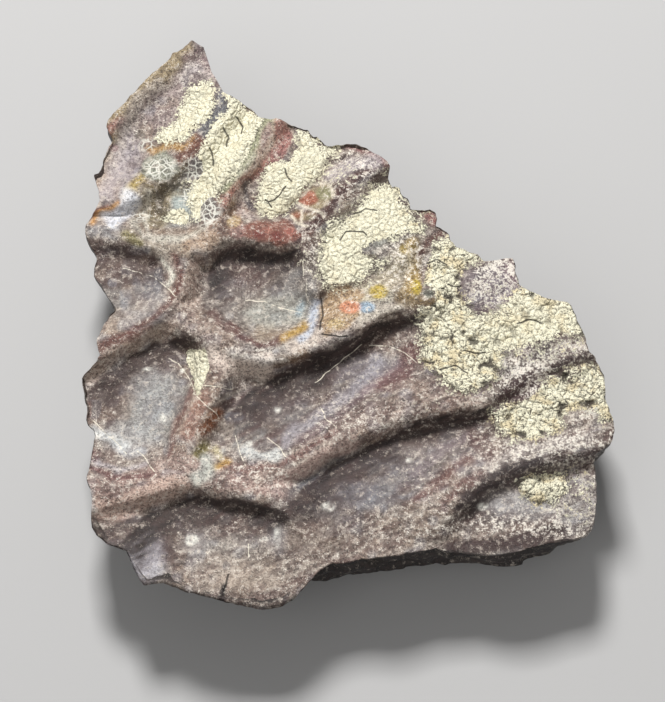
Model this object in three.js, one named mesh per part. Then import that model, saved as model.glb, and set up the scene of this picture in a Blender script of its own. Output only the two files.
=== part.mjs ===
import * as THREE from "three";

// Metoposaurus dermal scute, a broken plate of petrified skull or shoulder bone, in millimetres.
// Elongated hollows between rounded ridges radiate over its face. Cream sandy matrix is cemented
// into the upper hollows and over the right side. It lies on its rough back with the face up:
// X runs left to right, Y up the plate, Z out of the face. The origin is under the middle.

const FACE = 16; // mean height of the sculptured face above the rest
const FLOOR = 13.1; // depth of an open hollow
const LEAN = 0.364; // how far a place slides down the plate for each millimetre it stands above FACE
const MIDDLE = [-9, -5]; // every line from here to the edge stays inside the plate
const RINGS = 27; // rows of facets from the middle to the edge
const CREST = 0.7; // half the width of a ridge's rounded top
const CRUST = 0.75; // thickness of the matrix crust
const BONE = 0x6d5a58;

// Broken edge of the face, from the lower right corner up the right side and round.
const EDGE = [
  [32.1, -33.7], [33.3, -33.4], [34.4, -32.5], [34.8, -31.3], [35, -29.4], [35.2, -27.5], [35.3, -26],
  [35.2, -24], [35, -22.5], [35.1, -21], [35.7, -20.4], [36.5, -19.9], [37.3, -19.3], [37.7, -18.4],
  [37.9, -17.1], [37.7, -16], [37.3, -14.4], [36.9, -13.3], [36.9, -12.1], [36.8, -9.2], [36.3, -8.1],
  [35.4, -6.2], [34.6, -5.5], [34.3, -4.3], [34, -2.9], [33.4, -1.4], [32.9, 0], [32.4, 1.6],
  [31.9, 2.1], [29.5, 2.5], [28.5, 2.8], [27.1, 3.6], [26, 4], [24.9, 4.8], [24.8, 5.5], [24.5, 7.1],
  [24.4, 8.3], [24.1, 8.9], [22.9, 8.9], [21.7, 8.6], [19.9, 8.5], [19.4, 9], [19, 9.6], [17.9, 9.8],
  [17, 10.4], [15.9, 10.7], [15.1, 11.8], [14.9, 12.7], [14.1, 13.4], [13.1, 14.1], [13.3, 15.2],
  [13, 16.1], [12.2, 16.6], [11.4, 16.4], [10, 16.6], [9.4, 16.7], [9.2, 17.5], [8.9, 18.4], [8, 19.1],
  [7.8, 20], [7.1, 20.4], [6.7, 20.2], [6.4, 20.7], [6.1, 21.7], [6.2, 22.7], [6.4, 23.6], [5.9, 24.3],
  [4.9, 25.2], [3.7, 25.7], [2.6, 26.5], [1.4, 27], [0, 26.9], [-2.6, 26.7], [-3.2, 26.9],
  [-4.4, 28.1], [-4.9, 28], [-5.3, 28.6], [-5.7, 29.3], [-6.8, 29.6], [-8, 29.9], [-8.9, 30.5],
  [-9.7, 31], [-10.4, 31.1], [-11.1, 30.9], [-12.9, 31.3], [-13.7, 32.3], [-14.7, 33], [-15.9, 34.1],
  [-17.2, 34.9], [-18.2, 35.3], [-19, 36.9], [-19.5, 37.9], [-20.1, 38.8], [-20.5, 40.2],
  [-21, 41.8], [-21.3, 42.8], [-22.2, 43.3], [-23, 43.9], [-24, 42.8], [-25, 42], [-25.9, 41.7],
  [-26.3, 40.8], [-27, 40], [-28, 39.1], [-28.8, 38.4], [-30, 37.2], [-30.7, 36.2], [-31.3, 35.4],
  [-32.1, 34.8], [-32.2, 34.4], [-33, 33.5], [-34, 32.4], [-34.5, 31.8], [-35, 31.2], [-35.3, 30.4],
  [-35.4, 29.7], [-35.2, 29.3], [-35, 28.8], [-34.6, 27.9], [-34.5, 27.6], [-35, 26.8], [-35.7, 25.3],
  [-36.1, 23.6], [-36.5, 22.2], [-37.3, 22.1], [-36.9, 21], [-36.5, 20.1], [-36.2, 19], [-36.1, 18.2],
  [-36.3, 17.4], [-36.9, 16.1], [-37.6, 15], [-38, 14.2], [-38.1, 13.1], [-37.9, 12.1], [-37.5, 11],
  [-37, 10.1], [-36.5, 9.3], [-36.5, 8.5], [-36.7, 7.4], [-36.7, 6.1], [-36.4, 5.5], [-35.8, 4.9],
  [-35.3, 4], [-34.7, 3], [-34.1, 2.1], [-33.5, 1.2], [-33.8, 0.6], [-34.4, -0.3], [-34.9, -1.2],
  [-35.5, -2.4], [-35.9, -3.6], [-35.9, -4.3], [-35.7, -5.5], [-35.4, -6], [-35.9, -6.9],
  [-36.6, -7.8], [-37.4, -8.7], [-37.9, -9.5], [-38.1, -10.4], [-38, -11.2], [-37.7, -12],
  [-37.6, -12.9], [-37.3, -13.9], [-37.3, -15.9], [-37, -16.7], [-36.2, -17.5], [-35.9, -18.4],
  [-36.1, -19], [-36.2, -20.4], [-36.4, -22.1], [-36.5, -23.3], [-36.9, -24.5], [-36.6, -25.2],
  [-36.2, -26], [-35.9, -28], [-36.1, -30], [-36, -31.9], [-35.3, -33.1], [-34.5, -33.8],
  [-33.1, -34.5], [-31.8, -35], [-31, -35.3], [-30.6, -36.1], [-30.1, -37.2], [-29.7, -38.2],
  [-29.3, -39.2], [-28.5, -40.3], [-27.4, -40.1], [-25.8, -40], [-24.4, -40.5], [-22.9, -41.1],
  [-20.9, -41.6], [-19, -42.1], [-17.2, -42.6], [-15.5, -43], [-13.7, -43.5], [-12, -43.9],
  [-10.8, -43.8], [-9, -43.3], [-7.6, -42.4], [-6.2, -40.9], [-4.8, -39.1], [-3.5, -37.8], [-2, -37.1],
  [-0.5, -37.2], [0.8, -36.8], [2.3, -36.5], [4.3, -36.2], [6.4, -36], [8.5, -35.6], [10.5, -35.3],
  [12.3, -34.9], [13.4, -35.5], [15.2, -35.6], [17.5, -35.9], [19.5, -36.1], [21.8, -35.9],
  [23.4, -35.5], [25.1, -35], [27.1, -34.5], [28.7, -34.1], [31.3, -33.7],];

// Crest lines of the ridges: [x, y, height] along each, with the reach of the slope on its
// left hand and on its right hand. A slope above a hollow is short and steep.
const CRESTS = [
  // between the two upper left hollows
  { left: 4.5, right: 3.8, line: [[-38, 17.6, 15.3], [-33, 18.6, 15.8], [-29.5, 20.5, 16],
    [-26.5, 22.5, 16.3], [-23, 26, 16.6], [-21, 28.5, 16.5], [-18, 33, 16.1], [-17, 36, 15.6]] },
  // grey green ridge, second from the left
  { left: 3.4, right: 3.4, line: [[-20, 13.5, 16], [-17.5, 20.5, 16.5], [-15.5, 24, 16.7],
    [-12.5, 28.5, 16.5], [-10.5, 32, 16]] },
  // dark red ridge, third from the left
  { left: 3.4, right: 3.8, line: [[-6.3, 12.8, 16.4], [-4.5, 14.6, 16.4], [-3, 16.5, 16.6],
    [-1.5, 18.5, 16.8], [0, 20.3, 17], [2.5, 22.5, 17], [5, 24.5, 16.4], [7, 26, 16]] },
  // belt under the upper row of hollows
  { left: 3.6, right: 4.6, line: [[-39, 13.4, 15.3], [-34, 12.9, 15.8], [-30, 12.6, 16.1],
    [-27, 11.4, 16.3], [-24, 10.3, 16.6], [-21.5, 11.3, 16.7], [-18.5, 13.4, 16.8],
    [-14, 13.1, 16.8], [-10, 12.4, 16.6], [-6.3, 12.2, 16.4], [-4.6, 9.5, 15.9], [-4.2, 5.5, 15.4]] },
  // fork that drops from the belt to the left edge
  { left: 4, right: 4.8, line: [[-24, 10.3, 16.6], [-24.2, 7, 16.5], [-24.7, 3.8, 16.5],
    [-27, 0.7, 16.5], [-30, -1.6, 16.4], [-34, -4, 16.1], [-39, -7, 15.6]] },
  // high ochre ridge over the middle groove
  { left: 4.6, right: 4.6, line: [[-26.5, 0.8, 16.5], [-23, -0.8, 16.6], [-19, -3.2, 16.7],
    [-15, -5.1, 16.8], [-10.5, -5.8, 16.9], [-6, -4.4, 17], [-1.5, -2.4, 17.2], [2, -0.4, 17.2],
    [5, 1.6, 17.2], [8, 2.4, 17.1], [12, 2.8, 16.8]] },
  // stem between the lower left hollow and the middle groove
  { left: 4.2, right: 4.2, line: [[-19, -3.4, 16.7], [-18.3, -7.5, 16.5], [-19.3, -11, 16.3],
    [-21.5, -15.5, 16.2], [-22.8, -19.5, 16.2], [-23.5, -23.8, 16.3]] },
  // long ridge from the left edge to the right corner
  { left: 6.4, right: 4.6, line: [[-39, -27.6, 15.2], [-34, -26.8, 15.8], [-30, -25.7, 16.2],
    [-24, -24.2, 16.4], [-17, -24.4, 16.3], [-10, -22.8, 16.3], [-4, -19.3, 16.4], [2, -16.3, 16.6],
    [8, -14.2, 16.8], [14, -12.9, 16.9], [19, -12, 17], [23, -9.4, 17.1], [28, -6.6, 17],
    [36, -4.2, 16.4]] },
  // saddle between the two bottom hollows
  { left: 4, right: 4.4, line: [[-17, -25.4, 16.2], [-11, -26.6, 16], [-6.8, -29, 15.8],
    [-3.6, -32, 15.4]] },
  // ridge over the lower right hollow
  { left: 5.4, right: 4.6, line: [[11.5, -30.5, 15.4], [15, -27, 16], [18.2, -24.3, 16.4],
    [22, -22.4, 16.7], [27, -20.9, 16.8], [32, -19.5, 16.7], [39, -17.4, 16.2]] },
  // upper left rim of the plate
  { left: 3, right: 3.6, line: [[-37, 28, 15.6], [-34.6, 31.2, 15.9], [-30, 36.4, 16],
    [-25.6, 41.2, 16], [-22.5, 44, 15.8]] },
];

// Places where the ground between the ridges stands above an open hollow: [x, y, reach, height].
const RISES = [
  [-28, 31, 9, 14.3], [-22, 37, 7, 14.8], [-24, 19, 6, 14.2], [-20, 26, 6, 14.8], [-9, 21, 6, 14.8],
  [-12, 26, 5, 14.9], [3, 13, 8, 15.4], [9, 10, 6, 15.8], [0, 6.5, 5, 15], [17, -3, 8, 16.1],
  [19, 6, 7, 16.2], [28, 0, 8, 15.9], [15, -8, 5, 15.9], [29, -13, 6, 15.4], [34, -14, 6, 15.2],
  [23, -17, 5, 14.6], [-6, -37, 8, 14.9], [6, -33, 8, 14.9], [-30, -37, 6, 15], [-18, -40, 7, 14.8],
  [26, -33, 7, 14.6], [32, -27, 5, 14.4], [-35, 4, 6, 14], [-37, -20, 5, 14.2], [15, -21.5, 5, 14.5],
  [24, -26.5, 4, 14.2],
];

// Outlines of the cream matrix crust.
const CRUSTS = [
  // top left hollow
  [[-20.2, 37.3], [-22.2, 36.8], [-23.5, 36.2], [-24.2, 34], [-25, 32], [-25.2, 30.6], [-26.5, 29.7],
    [-27.7, 29], [-28.3, 27.6], [-26.2, 27], [-24.5, 27.2], [-23.2, 28], [-22.3, 29.3], [-20, 31.2],
    [-19.5, 32.5], [-19.4, 35.5]],
  // second hollow
  [[-18, 35.4], [-15, 33.6], [-11.8, 30.8], [-13, 28.5], [-14.5, 26], [-15.8, 24], [-16.8, 21.8],
    [-18.5, 19], [-19.5, 15.5], [-21, 13.9], [-23.4, 13.8], [-23.6, 16.5], [-23.2, 19], [-23.6, 21],
    [-22.5, 24.5], [-21.3, 26.5], [-20.5, 28.2], [-20, 29.9], [-17.6, 32.5]],
  // third hollow
  [[-7.2, 29.3], [-5.8, 29.2], [-4.5, 27.8], [-2.5, 26.6], [-1.9, 25.5], [-2.4, 24], [-3.2, 22.3],
    [-4.3, 20.8], [-5.6, 19.9], [-6.6, 18.6], [-7.8, 17.5], [-8.6, 16.1], [-10, 15.6], [-11.5, 15.3],
    [-12.8, 15.9], [-13.4, 17], [-13, 20], [-12.6, 21.2], [-11.8, 22.8], [-11.3, 24.1], [-9.8, 24.3],
    [-8.4, 24.3], [-7.3, 26.5], [-7.6, 28.2]],
  // fourth hollow, worn thin
  [[-4.3, 5.5], [-4.6, 8], [-4, 12], [-2.5, 15], [-0.5, 17.5], [1.5, 19.5], [3.5, 20.6], [6.5, 20.6],
    [8.5, 19], [10, 16.8], [11.5, 14], [10.5, 11.5], [9.5, 9], [8, 6], [5.5, 4], [2, 4.5], [-1, 4],
    [-3, 4.2]],
  // thick crust of the right side
  [[10.2, 0.5], [10.6, -4], [10.6, -7], [12.5, -8.7], [14.5, -11], [16.5, -12], [20, -10.8],
    [23, -8.5], [27, -5.8], [31, -4], [35, -3.5], [34, 2], [30, 4], [25, 5], [22, 1.5], [18.5, 1],
    [16.5, 3], [16, 6], [17.5, 8.3], [19.5, 9], [17, 11], [14.8, 12.2], [12.8, 11.5], [11.5, 8],
    [11, 4]],
  // right corner
  [[20.3, -14.5], [20.3, -16], [21.5, -18], [23, -19.7], [27, -19.5], [31, -17.5], [35, -16.5],
    [39, -15.5], [38, -10], [36, -8], [34.5, -7.3], [31, -8.2], [28, -9.8], [25, -12],
    [22.5, -13.2]],
  // lower right hollow
  [[24.5, -24.7], [30, -24.3], [31, -26], [29.5, -28.7], [26.5, -28.5], [24.5, -27]],
  // drop on the stem ridge
  [[-22.8, -5.8], [-22, -5.3], [-20.7, -5.4], [-20.2, -6.2], [-20, -8.2], [-20.4, -9.8],
    [-21.2, -11.9], [-21.8, -10.8], [-22.4, -7.5]],
];

const clamp = (v, low, high) => Math.min(high, Math.max(low, v));
const smooth = (v) => {
  const t = clamp(v, 0, 1);
  return t * t * (3 - 2 * t);
};

// A fixed value from 0 to 1 for each cell of space, and the smooth field between the cells.
function cell(i, j, k) {
  const v = Math.sin(i * 127.1 + j * 311.7 + k * 74.7) * 43758.5453;
  return v - Math.floor(v);
}
function field(x, y, z) {
  const i = Math.floor(x);
  const j = Math.floor(y);
  const k = Math.floor(z);
  const u = smooth(x - i);
  const v = smooth(y - j);
  const w = smooth(z - k);
  const mix = (a, b, t) => a + (b - a) * t;
  const row = (b, c) => mix(cell(i, j + b, k + c), cell(i + 1, j + b, k + c), u);
  return mix(mix(row(0, 0), row(1, 0), v), mix(row(0, 1), row(1, 1), v), w) * 2 - 1;
}

// How far the nearest point of a crest line is, on which side, and how high the line is there.
function nearest(line, x, y) {
  let best = { far: Infinity, side: 1, height: 0 };
  for (let n = 0; n + 1 < line.length; n++) {
    const [ax, ay, az] = line[n];
    const [bx, by, bz] = line[n + 1];
    const dx = bx - ax;
    const dy = by - ay;
    const t = clamp(((x - ax) * dx + (y - ay) * dy) / (dx * dx + dy * dy), 0, 1);
    const ox = x - ax - dx * t;
    const oy = y - ay - dy * t;
    const far = Math.hypot(ox, oy);
    if (far < best.far) best = { far, side: dx * oy - dy * ox, height: az + (bz - az) * t };
  }
  return best;
}

// Signed distance to a closed outline, positive inside.
function inside(loop, x, y) {
  let far = Infinity;
  let within = false;
  loop.forEach(([ax, ay], n) => {
    const [bx, by] = loop[(n + 1) % loop.length];
    const dx = bx - ax;
    const dy = by - ay;
    const t = clamp(((x - ax) * dx + (y - ay) * dy) / (dx * dx + dy * dy), 0, 1);
    far = Math.min(far, Math.hypot(x - ax - dx * t, y - ay - dy * t));
    if (ay > y !== by > y && x < ax + (dx * (y - ay)) / dy) within = !within;
  });
  return within ? far : -far;
}

// Height of the face over a place: hollows, then ridges, then crust, then the grain of the bone.
function relief(x, y) {
  let ground = 0;
  for (const [cx, cy, reach, top] of RISES) {
    const d2 = ((x - cx) ** 2 + (y - cy) ** 2) / reach ** 2;
    ground += ((top - FLOOR) * Math.exp(-d2)) ** 3;
  }
  ground = FLOOR + Math.cbrt(ground);
  let ridge = 0;
  for (const { left, right, line } of CRESTS) {
    const { far, side, height } = nearest(line, x, y);
    const slope = 1 - smooth((far - CREST) / ((side > 0 ? left : right) - CREST));
    ridge += (Math.max(0, height - ground) * slope) ** 5;
  }
  let z = ground + ridge ** 0.2;
  let crust = 0;
  for (const loop of CRUSTS) crust = Math.max(crust, smooth(inside(loop, x, y) / 1.4 + 0.2));
  z += CRUST * crust * (0.55 + 0.45 * field(x / 1.7, y / 1.7, 3));
  return z + 0.3 * field(x / 6, y / 6, 1) + 0.14 * field(x / 2.2, y / 2.2, 7);
}

// The edge line walked in equal steps, each step drawn to a corner that is close.
function walk(points, count) {
  const ends = points.map((p, n) => Math.hypot(
    points[(n + 1) % points.length][0] - p[0],
    points[(n + 1) % points.length][1] - p[1],
  ));
  const around = ends.reduce((sum, d) => sum + d, 0);
  const out = [];
  let n = 0;
  let passed = 0;
  for (let m = 0; m < count; m++) {
    const goal = (around * m) / count;
    while (passed + ends[n] < goal) passed += ends[n++];
    const t = (goal - passed) / ends[n];
    const a = points[n];
    const b = points[(n + 1) % points.length];
    const near = (0.42 * around) / count;
    if (t * ends[n] < near) out.push(a);
    else if ((1 - t) * ends[n] < near) out.push(b);
    else out.push([a[0] + (b[0] - a[0]) * t, a[1] + (b[1] - a[1]) * t]);
  }
  return out.filter((p, m) => p !== out[(m + 1) % out.length]).length === count ? out : null;
}

const AROUND = 8 * RINGS;
const rim = walk(EDGE, AROUND);

// The edge without its teeth, which the inner rows and the lower sides follow.
const SPREAD = 6;
const soft = rim.map((p, m) => {
  const sum = [0, 0];
  for (let n = m - SPREAD; n <= m + SPREAD; n++) {
    const q = rim[(n + AROUND) % AROUND];
    sum[0] += q[0] / (2 * SPREAD + 1);
    sum[1] += q[1] / (2 * SPREAD + 1);
  }
  return sum;
});
const between = (a, b, t) => [a[0] + (b[0] - a[0]) * t, a[1] + (b[1] - a[1]) * t];
const vertices = [];
const faces = [];
const put = (x, y, z) => vertices.push([x, y, z]) - 1;

// A place read on the face plane, lifted to its height.
const lift = (x, y, z) => [x, y - (z - FACE) * LEAN, z];

// The face: ring n has 8 n places, each a share of the way out to the edge.
const ringStart = [0];
put(...lift(...MIDDLE, relief(...MIDDLE)));
for (let ring = 1; ring <= RINGS; ring++) {
  ringStart.push(vertices.length);
  for (let m = 0; m < 8 * ring; m++) {
    const at = (m * RINGS) / ring;
    const low = Math.floor(at);
    const high = (low + 1) % AROUND;
    const share = ring / RINGS;
    const sharp = smooth((share - 0.45) / 0.55);
    const edge = between(
      between(soft[low], rim[low], sharp),
      between(soft[high], rim[high], sharp),
      at - low,
    );
    const [x, y] = between(MIDDLE, edge, share);
    put(...lift(x, y, relief(x, y)));
  }
}

// The place at column i and row j of the face, both from -RINGS to RINGS.
function place(i, j) {
  const ring = Math.max(Math.abs(i), Math.abs(j));
  if (ring === 0) return 0;
  let m;
  if (i === ring && j < ring) m = j + ring;
  else if (j === ring && i > -ring) m = 3 * ring - i;
  else if (i === -ring && j > -ring) m = 5 * ring - j;
  else m = 7 * ring + i;
  return ringStart[ring] + m;
}

// Each square of the face is cut along the diagonal that bends less.
for (let i = -RINGS; i < RINGS; i++) {
  for (let j = -RINGS; j < RINGS; j++) {
    const a = place(i, j);
    const b = place(i + 1, j);
    const c = place(i + 1, j + 1);
    const d = place(i, j + 1);
    const bendAC = Math.abs(vertices[a][2] - vertices[c][2]);
    const bendBD = Math.abs(vertices[b][2] - vertices[d][2]);
    const corner = (i === RINGS - 1 && j === -RINGS) || (i === -RINGS && j === RINGS - 1);
    const other = (i === RINGS - 1 && j === RINGS - 1) || (i === -RINGS && j === -RINGS);
    if (other || (!corner && bendAC < bendBD)) faces.push([a, b, c], [a, c, d]);
    else faces.push([a, b, d], [b, c, d]);
  }
}

// Broken sides and back, as rows of [height, distance in from the edge]. The lower right side
// stands nearly upright, the lower left one slants in under the face.
const ROWS_PLAIN = [[13.6, -0.1], [11.6, 0.4], [9.4, 0.5], [7.2, 1.6], [4.6, 3.4], [2.7, 7.5],
  [1.6, 13], [0.9, 19]];
const ROWS_UPRIGHT = [[13.3, 0.1], [11.3, -0.3], [8.3, -0.4], [6.2, 1.2], [4, 3.2], [2.4, 7],
  [1.5, 12], [0.8, 18]];
const ROWS_UNDERCUT = [[13.8, 1.2], [11.8, 2.4], [9.6, 3.2], [7.2, 4.4], [4.8, 6.6], [2.8, 10],
  [1.6, 14], [0.9, 19]];
const ROUGH = [0.45, 0.75, 0.8, 0.8, 0.9, 0.8, 0.6, 0.5]; // how far each row wanders in and out
const WAVY = [0.5, 0.8, 0.9, 1, 1.1, 0.9, 0.7, 0.45]; // how far each row wanders up and down
const FOOT = [9, 0.2]; // radius of the flat the plate rests on: a base and a share of the face's

const band = (v, from, to, soft) => smooth((v - from) / soft) * smooth((to - v) / soft);

function sidePlace(m, row) {
  const [x, y] = rim[m];
  const edge = vertices[ringStart[RINGS] + m];
  const blunt = smooth(row / 6);
  const top = [edge[0] + (soft[m][0] - x) * blunt, edge[1] + (soft[m][1] - y) * blunt];
  const upright = band(x, -8, 32, 5) * smooth((-31 - y) / 2);
  const undercut = smooth((-28 - y) / 4) * smooth((-2 - x) / 6);
  const plain = 1 - clamp(upright + undercut, 0, 1);
  const total = upright + undercut + plain;
  const blend = (n) => (ROWS_UPRIGHT[row][n] * upright + ROWS_UNDERCUT[row][n] * undercut
    + ROWS_PLAIN[row][n] * plain) / total;
  const step = ROUGH[row] * (field(x / 2.9, y / 2.9, row * 5.7 + 20) + 0.35);
  const far = Math.hypot(top[0] - MIDDLE[0], top[1] - MIDDLE[1]);
  const share = 1 - (blend(1) + Math.max(step, -0.15)) / far;
  const z = blend(0) + WAVY[row] * field(x / 4.3, y / 4.3, row * 3.3 + 40);
  return [MIDDLE[0] + (top[0] - MIDDLE[0]) * share, MIDDLE[1] + (top[1] - MIDDLE[1]) * share, z];
}

const sideRow = (row, step) => {
  const ids = [];
  for (let m = 0; m < AROUND; m += step) ids.push(put(...sidePlace(m, row)));
  return ids;
};
const rimRow = Array.from({ length: AROUND }, (_, m) => ringStart[RINGS] + m);
const foot = [];
for (let m = 0; m < AROUND; m += 3) {
  const dx = soft[m][0] - MIDDLE[0];
  const dy = soft[m][1] - MIDDLE[1];
  const share = FOOT[0] / Math.hypot(dx, dy) + FOOT[1] + 0.03 * field(dx / 12, dy / 12, 60);
  foot.push(put(MIDDLE[0] + dx * share + 4, MIDDLE[1] + dy * share, 0));
}
const steps = [1, 1, 1, 1, 3, 3, 3, 3];
const rows = [rimRow, ...steps.map((step, row) => sideRow(row, step)), foot];
for (let n = 0; n + 1 < rows.length; n++) {
  const upper = rows[n];
  const lower = rows[n + 1];
  const step = upper.length / lower.length;
  for (let m = 0; m < lower.length; m++) {
    const low = lower[m];
    const next = lower[(m + 1) % lower.length];
    const half = Math.ceil(step / 2);
    for (let s = 0; s < step; s++) {
      const a = upper[m * step + s];
      const b = upper[(m * step + s + 1) % upper.length];
      faces.push([a, s < half ? low : next, b]);
      if (s === half - 1) faces.push([b, low, next]);
    }
  }
}
const flat = foot.map((id) => new THREE.Vector2(vertices[id][0], vertices[id][1]));
for (const [a, b, c] of THREE.ShapeUtils.triangulateShape(flat, [])) {
  faces.push([foot[a], foot[c], foot[b]]);
}

const geometry = new THREE.BufferGeometry();
geometry.setAttribute("position", new THREE.Float32BufferAttribute(vertices.flat(), 3));
geometry.setIndex(faces.flat());
geometry.computeBoundingBox();
const { min, max } = geometry.boundingBox;
geometry.translate(-(min.x + max.x) / 2, -(min.y + max.y) / 2, -min.z);
geometry.computeVertexNormals();

const scute = new THREE.Mesh(
  geometry,
  new THREE.MeshStandardMaterial({ color: BONE, roughness: 0.62, metalness: 0 }),
);
scute.name = "scute";

const group = new THREE.Group();
group.add(scute);

export default group;
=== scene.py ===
import math

import bpy
import numpy as np
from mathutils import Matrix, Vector


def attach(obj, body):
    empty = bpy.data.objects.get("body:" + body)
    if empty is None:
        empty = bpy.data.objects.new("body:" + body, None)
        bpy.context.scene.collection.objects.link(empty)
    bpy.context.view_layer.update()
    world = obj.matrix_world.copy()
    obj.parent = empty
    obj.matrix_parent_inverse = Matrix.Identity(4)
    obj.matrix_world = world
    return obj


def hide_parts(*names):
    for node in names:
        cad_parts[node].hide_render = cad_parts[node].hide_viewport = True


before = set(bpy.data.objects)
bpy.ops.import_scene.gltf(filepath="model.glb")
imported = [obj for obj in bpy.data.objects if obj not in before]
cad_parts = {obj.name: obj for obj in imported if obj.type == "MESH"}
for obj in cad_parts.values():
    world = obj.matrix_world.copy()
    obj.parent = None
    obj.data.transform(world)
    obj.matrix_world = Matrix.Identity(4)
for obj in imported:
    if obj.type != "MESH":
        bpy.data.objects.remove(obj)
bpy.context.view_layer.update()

# The scute: one broken plate of petrified amphibian skull or shoulder bone, dark purple brown and
# grey, grown with long hollows between rounded ridges. Cream sand cemented by lime fills the upper
# hollows and covers the right side. Lengths are in millimetres, as seen on the plane of the face.
FACE = 16.0  # mean height of the face above the rest
HOLLOW = 13.1  # height of an open hollow's floor
LEAN = 0.364  # slide down the plate for each millimetre above FACE
CREST_TOP = 0.7  # half width of a ridge's rounded top
CRUST_THICK = 0.75
WORN_FROM = 15  # height above which the ridges are worn lower


def smooth(v):
    """From 0 to 1, eased at both ends."""
    t = np.clip(v, 0, 1)
    return t * t * (3 - 2 * t)


def cell(i, j, k):
    """A fixed number from 0 to 1 for each cell of a lattice."""
    v = np.sin(i * 127.1 + j * 311.7 + k * 74.7) * 43758.5453
    return v - np.floor(v)


def field(x, y, z):
    """A smooth fixed field from -1 to 1."""
    i, j, k = np.floor(x), np.floor(y), math.floor(z)
    u, v, w = smooth(x - i), smooth(y - j), float(smooth(z - k))

    def row(b, c):
        a = cell(i, j + b, k + c)
        return a + (cell(i + 1, j + b, k + c) - a) * u

    low = row(0, 0) + (row(1, 0) - row(0, 0)) * v
    high = row(0, 1) + (row(1, 1) - row(0, 1)) * v
    return (low + (high - low) * w) * 2 - 1


def lumps(x, y, size, layer):
    """Rounded grains about size across: 1 at a grain's top, 0 in the gaps."""
    x, y = x / size, y / size
    i, j = np.floor(x), np.floor(y)
    best = np.full(x.shape, 9.0)
    for a in (-1, 0, 1):
        for b in (-1, 0, 1):
            cx = i + a + cell(i + a, j + b, layer)
            cy = j + b + cell(i + a, j + b, layer + 9)
            best = np.minimum(best, (x - cx) ** 2 + (y - cy) ** 2)
    return np.clip(1 - best * 1.3, 0, 1)


def along(line, x, y):
    """Distance, side and share along the nearest stretch of a line, for every place."""
    far = np.full(x.shape, 1e9)
    side = np.ones(x.shape)
    at = np.zeros(x.shape)
    for n in range(len(line) - 1):
        (ax, ay), (bx, by) = line[n][:2], line[n + 1][:2]
        dx, dy = bx - ax, by - ay
        t = np.clip(((x - ax) * dx + (y - ay) * dy) / (dx * dx + dy * dy), 0, 1)
        ox, oy = x - ax - dx * t, y - ay - dy * t
        d = np.hypot(ox, oy)
        near = d < far
        far = np.where(near, d, far)
        side = np.where(near, np.sign(dx * oy - dy * ox), side)
        at = np.where(near, n + t, at)
    return far, side, at


def inside(loop, x, y):
    """Signed distance to a closed outline, positive inside."""
    far = np.full(x.shape, 1e9)
    within = np.zeros(x.shape, bool)
    for n, (ax, ay) in enumerate(loop):
        bx, by = loop[(n + 1) % len(loop)]
        dx, dy = bx - ax, by - ay
        t = np.clip(((x - ax) * dx + (y - ay) * dy) / (dx * dx + dy * dy), 0, 1)
        far = np.minimum(far, np.hypot(x - ax - dx * t, y - ay - dy * t))
        if dy:
            within ^= ((ay > y) != (by > y)) & (x < ax + dx * (y - ay) / dy)
    return np.where(within, far, -far)


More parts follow.
